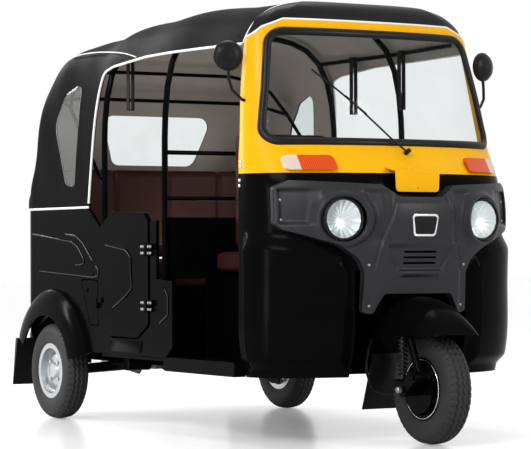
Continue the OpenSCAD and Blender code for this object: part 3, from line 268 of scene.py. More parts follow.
# pale floor and dome, with softboxes that draw the highlights
stage = {
    "floorHalf": 40, "floorTone": 0.86, "floorLift": 0.2, "dome": 0.56,
    "boxes": [  # name, place, aim, width, height, watts
        ("key", (4.5, -6.5, 5.5), (0.2, 0, 0.8), 3.0, 2.2, 330),
        ("nose", (7.5, 3.5, 3.6), (0.9, 0, 0.8), 1.2, 2.6, 170),
        ("flank", (-4.6, -5.0, 3.4), (-0.6, -0.5, 0.6), 0.8, 3.0, 240),
        ("roof", (-1.0, 0.5, 6.5), (0, 0, 1.2), 3.4, 2.4, 130),
        ("edge", (2.4, -6.4, 1.3), (-0.4, -0.6, 0.7), 0.5, 2.4, 60),
        ("rear", (-6.4, -0.9, 4.1), (-0.6, -0.6, 0.7), 0.6, 2.6, 110),
        ("cabin", (-0.70, 0.05, 0.74), (-0.65, 0.05, 2.0), 0.4, 0.8, 2.2),
    ],
}


def addStage(spec):
    addFloor(spec)
    addSky(spec)
    for name, place, aim, width, height, watts in spec["boxes"]:
        light = bpy.data.lights.new(name, "AREA")
        light.shape = "RECTANGLE"
        light.size = width
        light.size_y = height
        light.energy = watts
        lamp = bpy.data.objects.new(name, light)
        scene.collection.objects.link(lamp)
        lamp.location = place
        lamp.rotation_euler = (Vector(aim) - Vector(place)).to_track_quat("-Z", "Y").to_euler()


def addFloor(spec):
    h = spec["floorHalf"]
    corners = [(-h, -h, 0), (h, -h, 0), (h, h, 0), (-h, h, 0)]
    floorMesh = bpy.data.meshes.new("floor")
    floorMesh.from_pydata(corners, [], [(0, 1, 2, 3)])
    floor = bpy.data.objects.new("floor", floorMesh)
    scene.collection.objects.link(floor)
    cover = Finish("paleFloor", (spec["floorTone"],) * 3, 0.22, Specular_IOR_Level=0.45)
    rays = cover.start.node("LightPath", out="Is Camera Ray")
    glow = cover.start.node("Emission", {}, {"Strength": rays * spec["floorLift"]})
    cover.show(cover.start.node("AddShader", {}, {0: glow, 1: cover.own}))
    floorMesh.materials.append(cover.material)


# white where a camera, glossy or clear ray ends, and the dome's level for the light
def addSky(spec):
    world = bpy.data.worlds.new("studio")
    scene.world = world
    world.use_nodes = True
    start = Wire(world.node_tree)
    path = start.node("LightPath").socket.node
    rayKinds = ("Is Camera Ray", "Is Glossy Ray", "Is Transmission Ray")
    seen = [Wire(start.tree, path.outputs[kind]) for kind in rayKinds]
    shown = start.maths("MAXIMUM", start.maths("MAXIMUM", seen[0], seen[1]), seen[2])
    strength = shown * (1 - spec["dome"]) + spec["dome"]
    sky = start.node("Background", {}, {"Color": (1, 1, 1, 1), "Strength": strength})
    start.tree.links.new(sky.socket, start.tree.nodes["World Output"].inputs["Surface"])


scene.view_settings.view_transform = "Standard"
addCamera(cameraView)
addStage(stage)
print("camera and stage ready")


def smooth(mesh):
    mesh.polygons.foreach_set("use_smooth", np.ones(len(mesh.polygons), bool))


def coords(mesh):
    flat = np.empty(len(mesh.vertices) * 3)
    mesh.vertices.foreach_get("co", flat)
    return flat.reshape(-1, 3)


# meshes from whole arrays
def meshPiece(name, points, faces, finish=None):
    mesh = bpy.data.meshes.new(name)
    mesh.from_pydata(points.tolist(), [], faces.tolist() if hasattr(faces, "tolist") else faces)
    smooth(mesh)
    piece = bpy.data.objects.new(name, mesh)
    scene.collection.objects.link(piece)
    if finish:
        mesh.materials.append(finish)
    return piece


def gridQuads(rows, cols, wrapRows=False, wrapCols=False):
    i = np.arange(rows if wrapRows else rows - 1)[:, None]
    j = np.arange(cols if wrapCols else cols - 1)[None, :]
    down, across = (i + 1) % rows, (j + 1) % cols
    quads = [i * cols + j, i * cols + across, down * cols + across, down * cols + j]
    return np.stack(quads, -1).reshape(-1, 4)


# a grid of points (rows, columns, 3) as quads, turned to face away from a point
def gridPiece(name, points, finish=None, wrapRows=False, wrapCols=False, outFrom=None):
    quads = gridQuads(*points.shape[:2], wrapRows, wrapCols)
    flat = points.reshape(-1, 3)
    if outFrom is not None:
        a, b, c, d = (flat[quads[:, k]] for k in range(4))
        normal = np.cross(c - a, d - b)
        away = (a + b + c + d) / 4 - np.array(outFrom)
        if np.sum(normal * away) < 0:
            quads = quads[:, ::-1]
    return meshPiece(name, flat, quads, finish)


def settle(piece):  # its modifiers become its mesh
    graph = bpy.context.evaluated_depsgraph_get()
    mesh = bpy.data.meshes.new_from_object(piece.evaluated_get(graph))
    old = piece.data
    piece.modifiers.clear()
    piece.data = mesh
    bpy.data.meshes.remove(old)
    return piece


def thicken(piece, thickness, inner=0):  # a wall to the inside of a sheet
    wall = piece.modifiers.new("wall", "SOLIDIFY")
    wall.thickness = thickness
    wall.offset = -1
    wall.material_offset = inner
    return piece


def sharpen(piece, angle=32):  # smooth faces, with creases at sharper angles
    smooth(piece.data)
    piece.data.set_sharp_from_angle(angle=math.radians(angle))
    return piece


def soften(piece, width, angle=30):  # rounded edges where faces meet at more than the angle
    edge = piece.modifiers.new("edge", "BEVEL")
    edge.width = width
    edge.segments = 2
    edge.limit_method = "ANGLE"
    edge.angle_limit = math.radians(angle)
    return piece


def mend(piece, merge=0.0, fill=0, turn=True):  # loops filled, doubles merged, faces turned outwards
    work = bmesh.new()
    work.from_mesh(piece.data)
    if fill:
        bmesh.ops.holes_fill(work, edges=work.edges, sides=fill)
    if merge:
        bmesh.ops.remove_doubles(work, verts=work.verts, dist=merge)
    if turn:
        bmesh.ops.recalc_face_normals(work, faces=work.faces)
    work.to_mesh(piece.data)
    work.free()
    return piece


def joined(name, pieces):  # several pieces as one mesh
    verts, faces, base = [], [], 0
    for piece in pieces:
        mesh = piece.data
        verts.append(coords(mesh))
        faces += [[base + v for v in p.vertices] for p in mesh.polygons]
        base += len(mesh.vertices)
    finish = pieces[0].data.materials[0]
    for piece in pieces:
        bpy.data.objects.remove(piece)
    return meshPiece(name, np.concatenate(verts), faces, finish)


def place(piece, body, slot, *stands):
    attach(piece, body)
    if stands:
        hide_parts(*stands)
    return piece


# a closed outline of (u, v, radius) with its corners as arcs, as an array of points
def rounded(outline, steps=8):
    pts = np.array(outline, float)
    made = []
    for before, here, after in zip(np.roll(pts, 1, 0), pts, np.roll(pts, -1, 0)):
        v, r = here[:2], here[2]
        if r == 0:
            made.append(v[None])
            continue
        a = (before[:2] - v) / np.linalg.norm(before[:2] - v)
        b = (after[:2] - v) / np.linalg.norm(after[:2] - v)
        half = math.acos(np.clip(a @ b, -1, 1)) / 2
        centre = v + (a + b) / np.linalg.norm(a + b) * r / math.sin(half)
        s, e = v + a * r / math.tan(half) - centre, v + b * r / math.tan(half) - centre
        first = math.atan2(s[1], s[0])
        turn = (math.atan2(e[1], e[0]) - first + 3 * math.pi) % fullTurn - math.pi
        angle = first + turn * np.linspace(0, 1, steps)
        made.append(centre + r * np.stack([np.cos(angle), np.sin(angle)], -1))
    return np.concatenate(made)


# an outline carried straight along x or y between two places
def prism(name, outline, axis, low, high):
    n = len(outline)
    u, v = outline[:, 0], outline[:, 1]
    ends = [np.stack([np.full(n, w), u, v], -1) if axis == "x" else np.stack([u, np.full(n, w), v], -1)
            for w in (low, high)]
    i = np.arange(n)
    sides = np.stack([i, (i + 1) % n, (i + 1) % n + n, i + n], -1).tolist()
    faces = sides + [i[::-1].tolist(), (i + n).tolist()]
    return mend(meshPiece(name, np.concatenate(ends), faces))


def carve(piece, cutter, operation="DIFFERENCE"):  # the cutter is used up
    cut = piece.modifiers.new("cut", "BOOLEAN")
    cut.operation = operation
    cut.solver = "EXACT"
    cut.object = cutter
    settle(piece)
    mesh = cutter.data
    bpy.data.objects.remove(cutter)
    bpy.data.meshes.remove(mesh)
    return piece


def lengths(line):  # how far along a line each of its points lies
    return np.concatenate([[0], np.cumsum(np.linalg.norm(np.diff(line, axis=0), axis=1))])


# points evenly spaced along a line, open or closed
def spaced(points, count, closed=False):
    line = np.vstack([points, points[:1]]) if closed else points
    along = lengths(line)
    at = np.linspace(0, along[-1], count, endpoint=not closed)
    return np.stack([np.interp(at, along, line[:, k]) for k in range(line.shape[1])], -1)


# a profile (side, lift) carried along a path, its lift along the given normals
def carried(name, path, normals, profile, finish, closed=False):
    if closed:
        way = np.roll(path, -1, 0) - np.roll(path, 1, 0)
    else:
        way = np.gradient(path, axis=0)
    way /= np.linalg.norm(way, axis=1, keepdims=True)
    side = np.cross(way, normals)
    side /= np.linalg.norm(side, axis=1, keepdims=True)
    lift = np.cross(side, way)
    prof = np.array(profile)
    points = path[:, None] + side[:, None] * prof[None, :, :1] + lift[:, None] * prof[None, :, 1:]
    rows, cols = points.shape[:2]
    faces = gridQuads(rows, cols, closed, True).tolist()
    if not closed:
        faces += [list(range(cols))[::-1], list(range((rows - 1) * cols, rows * cols))]
    return mend(meshPiece(name, points.reshape(-1, 3), faces, finish))


def ring(radius, sides=10, squash=1.0):  # a round profile
    a = np.linspace(0, fullTurn, sides, endpoint=False)
    return np.stack([radius * np.cos(a), radius * squash * np.sin(a)], -1)


# smooth 0 to 1
def rise(value, start, end):
    t = np.clip((value - start) / (end - start), 0, 1)
    return t * t * (3 - 2 * t)


# superellipse radius at angle a: (|cos a|^n + |sin a|^n)^(-1/n)
def squareRound(a, n):
    return (np.abs(np.cos(a)) ** n + np.abs(np.sin(a)) ** n) ** (-1 / n)


# cubic through a table's rows at v, slopes by central differences
def column(table, v, k):
    x, y = table[:, 0], table[:, k]
    slope = np.gradient(y, x)
    i = np.clip(np.searchsorted(x, v) - 1, 0, len(x) - 2)
    h = x[i + 1] - x[i]
    t = np.clip((v - x[i]) / h, 0, 1)
    start = (2 * t**3 - 3 * t**2 + 1) * y[i] + (t**3 - 2 * t**2 + t) * h * slope[i]
    return start + (3 * t**2 - 2 * t**3) * y[i + 1] + (t**3 - t**2) * h * slope[i + 1]


# front skin: height, rear edge and nose from the front axle, tuck from the half width, squareness
frontSkin = np.array([
    [0.248, -0.415, -0.160, 0.045, 2.2], [0.338, -0.426, -0.128, 0.028, 2.2],
    [0.600, -0.430, -0.115, 0.023, 2.25], [0.900, -0.432, -0.115, 0.023, 2.25],
    [1.013, -0.440, -0.145, 0.028, 2.25], [1.073, -0.447, -0.190, 0.032, 2.2],
    [1.124, -0.453, -0.229, 0.039, 2.2], [1.350, -0.487, -0.305, 0.066, 2.3],
    [1.530, -0.507, -0.372, 0.094, 2.4], [1.620, -0.518, -0.405, 0.110, 2.4],
])
# lamp fascia, same columns
fasciaSkin = np.array([
    [0.470, -0.432, -0.092, 0.012, 2.1], [0.650, -0.432, -0.075, 0.010, 2.1],
    [0.894, -0.432, -0.047, 0.008, 2.1], [1.000, -0.436, -0.082, 0.010, 2.1],
])


# skin point at height z and plan angle a: x = rear + (nose - rear) r cos a, y = half r sin a,
# with r the superellipse radius, pushed out by off
def onSkin(table, z, a, off=0.0):
    z, a, off = np.broadcast_arrays(z, a, off)
    rear, nose, tuck, n = (column(table, z, k) for k in (1, 2, 3, 4))
    r = squareRound(a, n)
    x = frontAxle.x + rear + (nose - rear + off) * r * np.cos(a)
    return np.stack([x, (bodyHalf - tuck + off) * r * np.sin(a), z], -1)


# the same skin at a place across y and height z
def acrossSkin(table, y, z, off=0.0):
    y, z, off = np.broadcast_arrays(y, z, off)
    rear, nose, tuck, n = (column(table, z, k) for k in (1, 2, 3, 4))
    share = np.clip(np.abs(y) / (bodyHalf - tuck + off), 0, 1)
    x = frontAxle.x + rear + (nose - rear + off) * (1 - share**n) ** (1 / n)
    return np.stack([x, y, z], -1)


def skinNormal(table, y, z, step=0.002):
    dy = acrossSkin(table, y + step, z) - acrossSkin(table, y - step, z)
    dz = acrossSkin(table, y, z + step) - acrossSkin(table, y, z - step)
    normal = np.cross(dy, dz)
    normal /= np.linalg.norm(normal, axis=-1, keepdims=True)
    return np.where(normal[..., :1] < 0, -normal, normal)


# cowl: a pressed sheet over the steel nose, its cheeks swelling between the flange and the wheel bay
cowl = {
    "lowZ": 0.248, "bayZ": 0.645, "topZ": 1.0127, "bayHalf": 0.25, "proud": 0.0015, "sheet": 0.0012,
    "swell": 0.026, "swellTop": [[0.25, 0.665], [0.30, 0.725], [0.36, 0.757], [0.45, 0.782], [0.57, 0.800]],
    "cheekCols": 90, "bayCols": 60, "lowRows": 80, "highRows": 74,
}


# swell: smooth steps multiplied, from the bay's side, the crease above, the rear edge and the foot
def cowlSwell(points):
    y, z = np.abs(points[..., 1]), points[..., 2]
    rear = frontAxle.x + column(frontSkin, z, 1)
    limit = np.array(cowl["swellTop"])
    over = np.interp(y, limit[:, 0], limit[:, 1]) - z
    swell = rise(y, cowl["bayHalf"] + 0.004, cowl["bayHalf"] + 0.055) * rise(over, 0.0, 0.075)
    swell *= rise(points[..., 0] - rear, 0.030, 0.062) * rise(z, cowl["lowZ"] + 0.022, cowl["lowZ"] + 0.07)
    return swell * cowl["swell"]


def bayAngleAt(z):  # plan angle at which the skin reaches the side of the wheel bay
    angles = np.linspace(0, math.pi / 2, 800)
    across = onSkin(frontSkin, np.full(800, z), angles)[:, 1]
    return np.interp(cowl["bayHalf"], across, angles)


# three grids of the skin: below the bay's roof a cheek on each side, above it the whole width
def addCowl():
    bayAngle = bayAngleAt(cowl["bayZ"])
    cheek = -np.linspace(math.pi / 2, bayAngle, cowl["cheekCols"])
    middle = np.linspace(-bayAngle, bayAngle, cowl["bayCols"])[1:-1]
    lowRows = np.linspace(cowl["lowZ"], cowl["bayZ"], cowl["lowRows"])
    highRows = np.linspace(cowl["bayZ"], cowl["topZ"], cowl["highRows"])
    edge = np.array([bayAngleAt(height) for height in lowRows])[:, None]
    share = np.linspace(0, 1, cowl["cheekCols"])[None, :]
    angle = math.pi / 2 + (edge - math.pi / 2) * share
    grids = [(lowRows[:, None], -angle), (lowRows[:, None], angle)]
    grids.append((highRows[:, None], np.concatenate([cheek, middle, -cheek[::-1]])[None, :]))
    pieces = []
    for z, a in grids:
        plain = onSkin(frontSkin, z, a, cowl["proud"])
        points = onSkin(frontSkin, z, a, cowl["proud"] + cowlSwell(plain))
        pieces.append(gridPiece("cowlPart", points, blackPaint, outFrom=(frontAxle.x - 0.5, 0, 0.7)))
    cowlPiece = joined("cowl_sheet", pieces)
    mend(cowlPiece, 0.0004, turn=False)
    thicken(cowlPiece, cowl["sheet"])
    return place(sharpen(settle(cowlPiece), 40), "body", "black_paint")


addCowl()
print("cowl pressed")


# windscreen frame: the skin above the cowl, cut for the glass and along the brow
screen = {
    "lowZ": 1.013, "topZ": 1.618, "wall": 0.0115,
    "brow": [[0.9, 1.530], [0.506, 1.530], [0.462, 1.574], [0.385, 1.606]],
    "outline": [[-0.532, 1.122, 0.055], [0.532, 1.122, 0.055], [0.454, 1.570, 0.075], [-0.454, 1.570, 0.075]],
    "tabHalf": 0.100, "tabLow": 0.942, "tabTop": 1.021, "tabX": -0.085, "tabDeep": 0.004, "tabSeat": 1.036,
}


def addScreenFrame():
    z = np.linspace(screen["lowZ"], screen["topZ"], 90)[:, None]
    a = np.linspace(-math.pi / 2, math.pi / 2, 150)[None, :]
    frameSheet = gridPiece("screen_frame", onSkin(frontSkin, z, a, 0.0008), yellowPaint,
                           outFrom=(frontAxle.x - 0.6, 0, 1.3))
    settle(thicken(frameSheet, screen["wall"]))
    opening = rounded(screen["outline"], 12)
    carve(frameSheet, prism("cut", opening, "x", frontAxle.x - 0.7, frontAxle.x + 0.2))
    half = np.array(screen["brow"])
    over = np.concatenate([half, half[::-1] * [-1, 1], [[-0.9, 2.0], [0.9, 2.0]]])
    carve(frameSheet, prism("cut", over, "x", frontAxle.x - 0.9, frontAxle.x + 0.3))
    return place(sharpen(frameSheet), "body", "yellow_paint", "windscreen_frame")


# an outline drawn in towards its middle, ring by ring: middle + (edge - middle) share
def drawnIn(outline, count, shares):
    edge = spaced(rounded(outline, 10), count, closed=True)
    middle = edge.mean(0)
    return middle + (edge - middle)[None] * shares[:, None, None]


# a rounded patch of the skin, closed at its middle
def skinPatch(name, table, outline, off, depth, finish, rings=14):
    count = 160
    flat = drawnIn(outline, count, np.linspace(1, 0.02, rings))
    points = acrossSkin(table, flat[..., 0], flat[..., 1], off)
    inside = (frontAxle.x - 0.6, 0, points[..., 2].mean())
    patch = gridPiece(name, points, finish, wrapCols=True, outFrom=inside)
    mesh = patch.data
    faces = [list(p.vertices) for p in mesh.polygons]
    cap = list(range((rings - 1) * count, rings * count))
    first, quarter, half = (points[-1, k] for k in (0, count // 4, count // 2))
    forward = np.cross(quarter - first, half - first)[0] > 0
    faces.append(cap if forward else cap[::-1])
    mesh.clear_geometry()
    mesh.from_pydata(points.reshape(-1, 3).tolist(), [], faces)
    settle(thicken(patch, depth))
    return sharpen(settle(soften(patch, min(0.002, depth * 0.3))), 40)


addScreenFrame()


# plate tab: an upright plate with one hole, and a shelf from its top back to the skin
def addPlateTab():
    w, low, top, deep = (screen[k] for k in ("tabHalf", "tabLow", "tabTop", "tabDeep"))
    x = frontAxle.x + screen["tabX"]
    edge = [[-w + 0.004, low, 0.014], [w - 0.004, low, 0.014], [w, top, 0.004], [-w, top, 0.004]]
    plate = prism("plate_tab", rounded(edge, 8), "x", x - deep, x)
    plate.data.materials.append(yellowPaint)
    carve(plate, prism("cut", ring(0.003, 14) + [0.0, low + 0.015], "x", x - 0.02, x + 0.02))
    y = np.linspace(-w + 0.002, w - 0.002, 60)
    near = np.stack(np.broadcast_arrays(x - 0.001, y, top - 0.001), -1)
    far = acrossSkin(frontSkin, y, screen["tabSeat"])
    share = np.linspace(0, 1, 12)[:, None, None]
    shelf = gridPiece("shelf", near * (1 - share) + far * share, yellowPaint, outFrom=(x - 0.05, 0, 0.6))
    settle(thicken(shelf, 0.003))
    return place(sharpen(joined("plate_tab", [plate, shelf]), 35), "body", "yellow_paint")


addPlateTab()


# gasket: a domed rubber profile round the glass
gasket = {"width": 0.0165, "lift": 0.012, "inset": 0.011, "count": 260}


def shrunk(outline, d):  # an outline of (u, v, r) moved inwards, its corners kept round
    pts = np.array(outline, float)
    centre = pts[:, :2].mean(0)
    size = np.abs(pts[:, :2] - centre).max(0)
    made = pts.copy()
    made[:, :2] = centre + (pts[:, :2] - centre) * (1 - d / size)
    made[:, 2] = np.maximum(pts[:, 2] - d * 0.6, 0.01)
    return made


def addGasket():
    outline = rounded(shrunk(screen["outline"], gasket["inset"]), 14)
    line = spaced(outline, gasket["count"], closed=True)
    path = acrossSkin(frontSkin, line[:, 0], line[:, 1], 0.0)
    normals = skinNormal(frontSkin, line[:, 0], line[:, 1])
    a = np.linspace(0, fullTurn, 18, endpoint=False)
    lift = gasket["lift"] * np.sin(a) * np.where(np.sin(a) > 0, 1, 0.9)
    profile = np.stack([gasket["width"] * np.cos(a), lift], -1)
    piece = carried("screen_gasket", path, normals, profile, blackRubber, closed=True)
    return place(piece, "body", "rubber", "windscreen_gasket")


addGasket()
glassLine = shrunk(screen["outline"], 0.0225)
screenPane = skinPatch("screen_pane", frontSkin, glassLine, -0.003, 0.005, screenGlass, 16)
place(screenPane, "body", "clear_glass", "windscreen_glass")
print("windscreen fitted")


# canopy: station from the rear axle, crown, tuck from the half width
canopy = {
    "line": np.array([
        [-0.320, 0.9075, 0.092], [-0.303, 0.943, 0.036], [-0.260, 1.040, 0.008], [-0.215, 1.165, 0.0],
        [-0.186, 1.290, 0.0], [-0.166, 1.390, 0.0], [-0.130, 1.482, 0.0], [-0.060, 1.562, 0.0],
        [0.060, 1.614, 0.0], [0.200, 1.642, 0.0], [0.330, 1.662, 0.0], [0.450, 1.686, 0.0],
        [0.700, 1.702, 0.0], [0.965, 1.708, 0.001], [1.250, 1.700, 0.019], [1.490, 1.686, 0.044],
    ]),
    "baseZ": 0.9053, "squareness": (7.5, 4.5), "wall": 0.008, "hoops": [0.43, 0.965, 1.49], "sag": 0.007,
    "fold": 0.0022, "rows": 150,
    "opening": [
        [0.343, 0.865, 0], [2.2, 0.865, 0], [2.2, 1.509, 0], [0.995, 1.514, 0.3],
        [0.778, 1.512, 0.2], [0.500, 1.492, 0.08], [0.424, 1.474, 0.04], [0.378, 1.149, 0.2],
        [0.343, 0.925, 0],
    ],
    "quarter": [[0.207, 0.998, 0.03], [0.244, 1.432, 0.03], [0.102, 1.393, 0.06], [0.005, 1.270, 0.09],
                [0.112, 1.005, 0.04]],
    "rear": [[0.205, 1.112, 0.045], [0.285, 1.333, 0.045], [-0.285, 1.333, 0.045], [-0.205, 1.112, 0.045]],
}


def canopyPower(x):  # squarer behind, where the corner is tight
    rear, front = canopy["squareness"]
    return rear + (front - rear) * rise(x, 0.0, 0.42)


# canopy point at share s of the line's own length and section angle a:
# y = half r cos a, z = base + rise r sin a
def onCanopy(s, a, off=0.0):
    line = canopy["line"]
    along = lengths(line[:, :2])
    table = np.column_stack([along, line])
    at = np.asarray(s) * along[-1]
    x, crown, tuck = (column(table, at, k) for k in (1, 2, 3))
    dx = column(table, at + 0.004, 1) - column(table, at - 0.004, 1)
    dz = column(table, at + 0.004, 2) - column(table, at - 0.004, 2)
    size = np.hypot(dx, dz) + 1e-9
    n = canopyPower(x)
    x = x - off * dz / size
    crown = crown + off * dx / size
    r = squareRound(a, n)
    y = (bodyHalf - tuck + off) * r * np.cos(a)
    z = canopy["baseZ"] + np.maximum(crown - canopy["baseZ"], 0.001) * r * np.abs(np.sin(a))
    return np.stack(np.broadcast_arrays(rearAxle.x + x, y, z), -1)


def canopySag(points):  # cloth draws in between the hoops, with a few slack folds by the corners
    x, z = points[..., 0] - rearAxle.x, points[..., 2]
    bays = np.array([0.03] + canopy["hoops"])
    i = np.clip(np.searchsorted(bays, x) - 1, 0, len(bays) - 2)
    t = np.clip((x - bays[i]) / (bays[i + 1] - bays[i]), 0, 1)
    sag = canopy["sag"] * np.sin(math.pi * t) ** 2 * rise(z, 1.05, 1.5)
    fold = canopy["fold"] * np.sin(26 * x + 9 * z) * rise(x, 0.6, 0.1) * rise(z, 0.95, 1.1)
    return -sag + fold


def addCanopy():
    s = np.linspace(0, 1, canopy["rows"])[:, None]
    a = np.linspace(0, math.pi, canopy["rows"])[None, :]
    plain = onCanopy(s, a)
    points = onCanopy(s, a, canopySag(plain))
    cloth = gridPiece("canopy_cloth", points, canopyVinyl, outFrom=(0, 0, 1.2))
    cloth.data.materials.append(canopyLining)
    settle(thicken(cloth, canopy["wall"], 1))
    for name in ("opening", "quarter"):
        carve(cloth, prism("cut", rounded(canopy[name], 10) + [rearAxle.x, 0], "y", -0.9, 0.9))
    carve(cloth, prism("cut", rounded(canopy["rear"], 10), "x", rearAxle.x - 0.45, rearAxle.x - 0.09))
    return place(sharpen(cloth, 45), "body", "canopy_vinyl", "canopy")


canopyCloth = addCanopy()
print("canopy stretched")


# left side of the canopy at station x and height z: y = half (1 - ((z - base) / rise)^n)^(1/n)
def canopySide(x, z, off=0.0):
    line = canopy["line"]
    n = canopyPower(x)
    high = np.clip((z - canopy["baseZ"]) / (column(line, x, 1) + off - canopy["baseZ"]), 0, 1)
    half = (bodyHalf - column(line, x, 2) + off) * (1 - high**n) ** (1 / n)
    return np.stack([rearAxle.x + x, half, z], -1)


def acrossSides(points):  # the same points on the right
    return points * [1, -1, 1]


# white piping: round the side openings, along the hem, and along the roof's seams
piping = {
    "radius": 0.0052, "seamRadius": 0.0024, "lift": 0.0015, "sides": 8, "hemZ": 0.0035,
    "seam": [[-0.128, 1.470], [-0.060, 1.528], [0.060, 1.562], [0.218, 1.572], [0.420, 1.560],
             [0.583, 1.540], [0.690, 1.519]],
}


def addPiping():
    edge = rounded(canopy["opening"], 12)[::-1]  # from the hem up and forward
    edge = edge[(edge[:, 0] < 1.5) & (edge[:, 1] > canopy["baseZ"])]
    front = np.array([[1.49, np.interp(1.49, [0.995, 2.2], [1.514, 1.509])]])
    edge = spaced(np.vstack([edge, front]), 150)
    marks = np.array(piping["seam"])
    seamX = np.linspace(marks[0, 0], marks[-1, 0], 70)
    seam = np.stack([seamX, column(marks, seamX, 1)], -1)
    count = 40
    low = np.linspace(0.343, -0.318, count)
    hem = canopySide(low, np.full(count, canopy["baseZ"] + piping["hemZ"]), piping["lift"])
    tail = np.linspace(hem[-1, 1], -hem[-1, 1], 30)[1:-1]
    back = np.stack([np.full(28, hem[-1, 0] - 0.002), tail, np.full(28, hem[-1, 2])], -1)
    around = spaced(np.vstack([hem, back, acrossSides(hem)[::-1]]), 260)
    lines = [(around, piping["radius"])]
    for xz, radius in ((edge, piping["radius"]), (seam, piping["seamRadius"])):
        line = canopySide(xz[:, 0], xz[:, 1], piping["lift"])
        lines += [(line, radius), (acrossSides(line), radius)]
    tubes = []
    for line, radius in lines:
        away = line - np.array([0.0, 0.0, 1.2])
        tubes.append(carried("pipe", line, away, ring(radius, piping["sides"]), whitePiping))
    return place(joined("canopy_piping", tubes), "body", "canopy_vinyl")


canopyPiping = addPiping()

# roof cap: a moulding from the brow up to the canopy's front edge, swelling between them
roofCap = {
    "sweep": 86, "highFrom": 130.5, "highTo": 49.5, "weltFrom": 139.5, "weltTo": 40.5,
    "bulge": 0.034, "wall": 0.009, "rows": 36, "cols": 150, "pipe": 0.0042,
}


def browAt(y):  # height of the brow across y
    line = np.array(screen["brow"])[::-1]
    return np.interp(np.abs(y), line[:, 0], line[:, 1])


def canopyFront(start, end, count):  # the canopy's front edge between two section angles
    turn = np.radians(np.linspace(start, end, count))
    return onCanopy(np.ones(count), turn) + [0.0004, 0, 0]


def capEdges(spec):  # along the brow, and along the canopy's front edge
    cols = spec["cols"]
    a = np.radians(np.linspace(-spec["sweep"], spec["sweep"], cols))
    across = onSkin(frontSkin, np.full(cols, 1.57), a)[:, 1]
    low = onSkin(frontSkin, browAt(across) + 0.0006, a)
    return low, canopyFront(spec["highFrom"], spec["highTo"], cols)


# cap point: low (1 - v) + high v + bulge 4 v (1 - v) (0.5, 0, 0.75)
def addRoofCap(spec):
    low, high = capEdges(spec)
    v = np.linspace(0, 1, spec["rows"])[:, None, None]
    points = low * (1 - v) + high * v + spec["bulge"] * 4 * v * (1 - v) * np.array([0.5, 0, 0.75])
    cap = gridPiece("roof_moulding", points, darkPlastic, outFrom=(frontAxle.x - 0.75, 0, 1.4))
    settle(thicken(cap, spec["wall"]))
    rear = canopyFront(spec["weltFrom"], spec["weltTo"], 240)
    for name, line, middleZ in (("brow_pipe", low, 1.2), ("roof_welt", rear, 1.0)):
        path = spaced(line, 200)
        away = path - [frontAxle.x - 0.9, 0, middleZ]
        pipe = carried(name, path, away, ring(spec["pipe"], 8), whitePiping)
        place(pipe, "body", "canopy_vinyl")
    return place(sharpen(cap, 40), "body", "canopy_vinyl", "roof_cap")


addRoofCap(roofCap)
print("roof piped and capped")


# a profile of (radius, along) turned about an axis through a centre
def turned(name, profile, centre, axis, finish, steps=72, ripple=None):
    prof = np.array(profile, float)
    w = np.array(axis, float)
    w /= np.linalg.norm(w)
    u = np.cross(w, [0, 0, 1])
    u /= np.linalg.norm(u)
    v = np.cross(w, u)
    t = np.linspace(0, fullTurn, steps, endpoint=False)[:, None]
    r, along = prof[None, :, 0], prof[None, :, 1]
    if ripple:
        along = along + ripple(r, t)
    spoke = np.cos(t)[..., None] * u + np.sin(t)[..., None] * v
    points = np.array(centre) + r[..., None] * spoke + along[..., None] * w
    return gridPiece(name, points, finish, wrapRows=True)


hairline = 0.000001
mergeWithin = 0.00005


# two grids of the same shape as one closed slab
def slab(name, front, back, finish):
    rows, cols = front.shape[:2]
    quads = gridQuads(rows, cols)
    base = rows * cols
    grid = np.arange(base).reshape(rows, cols)
    rim = np.concatenate([grid[0, :-1], grid[:-1, -1], grid[-1, :0:-1], grid[:0:-1, 0]])
    after = np.roll(rim, -1)
    sides = np.stack([rim, after, after + base, rim + base], -1)
    faces = np.concatenate([quads, quads[:, ::-1] + base, sides])
    points = np.concatenate([front.reshape(-1, 3), back.reshape(-1, 3)])
    return mend(meshPiece(name, points, faces, finish), hairline)


# lamp fascia: the moulded grey face with its centre panel, lamp hoods, side scoops and grille
fascia = {
    "outline": [
        [0, 0.560, 0], [0.150, 0.560, 0.020], [0.196, 0.484, 0.012], [0.234, 0.492, 0.012],
        [0.228, 0.640, 0.040], [0.256, 0.694, 0.060], [0.330, 0.742, 0.060], [0.508, 0.800, 0.020],
        [0.530, 0.822, 0.015], [0.526, 0.962, 0.020], [0.484, 0.984, 0.015], [0.165, 0.968, 0.030],
        [0.095, 0.922, 0.020], [0, 0.922, 0],
    ],
    "wall": 0.009, "rows": 116, "cols": 226, "lowZ": 0.478, "topZ": 0.990,
    "seam": [[0.56, 0.196], [0.66, 0.192], [0.722, 0.180], [0.905, 0.116], [0.99, 0.090]],
    "panelLift": 0.006, "half": 0.538, "panelTop": 0.906,
    "seamDeep": 0.006, "topDeep": 0.004, "grooveWide": 0.0036,
    "lampY": 0.314, "lampZ": 0.839, "lampX": -0.112, "toe": 5.0, "hole": 0.084,
    "lipZ": 0.637, "lipHalf": 0.090, "lipOut": 0.016, "veeTop": (0.142, 0.724), "veeLow": (0.104, 0.650),
    "slots": [0.6705, 0.6915, 0.7125], "slotHalf": 0.074, "slotHigh": 0.008,
    "scoop": 0.017, "scoopSides": [(0.385, 0.43), (0.522, 0.510), (0.812, 0.835), (0.956, 0.942)],
    "hollow": 0.012, "hollowSides": [(0.135, 0.165), (0.26, 0.21), (0.72, 0.78), (0.955, 0.935)],
    "hood": 0.010, "hoodRadius": 0.094, "hoodWide": 0.011, "lipHigh": 0.011, "veeDeep": 0.009,
}


def bell(gap, wide, power=2):
    return np.exp(-((gap / wide) ** power))


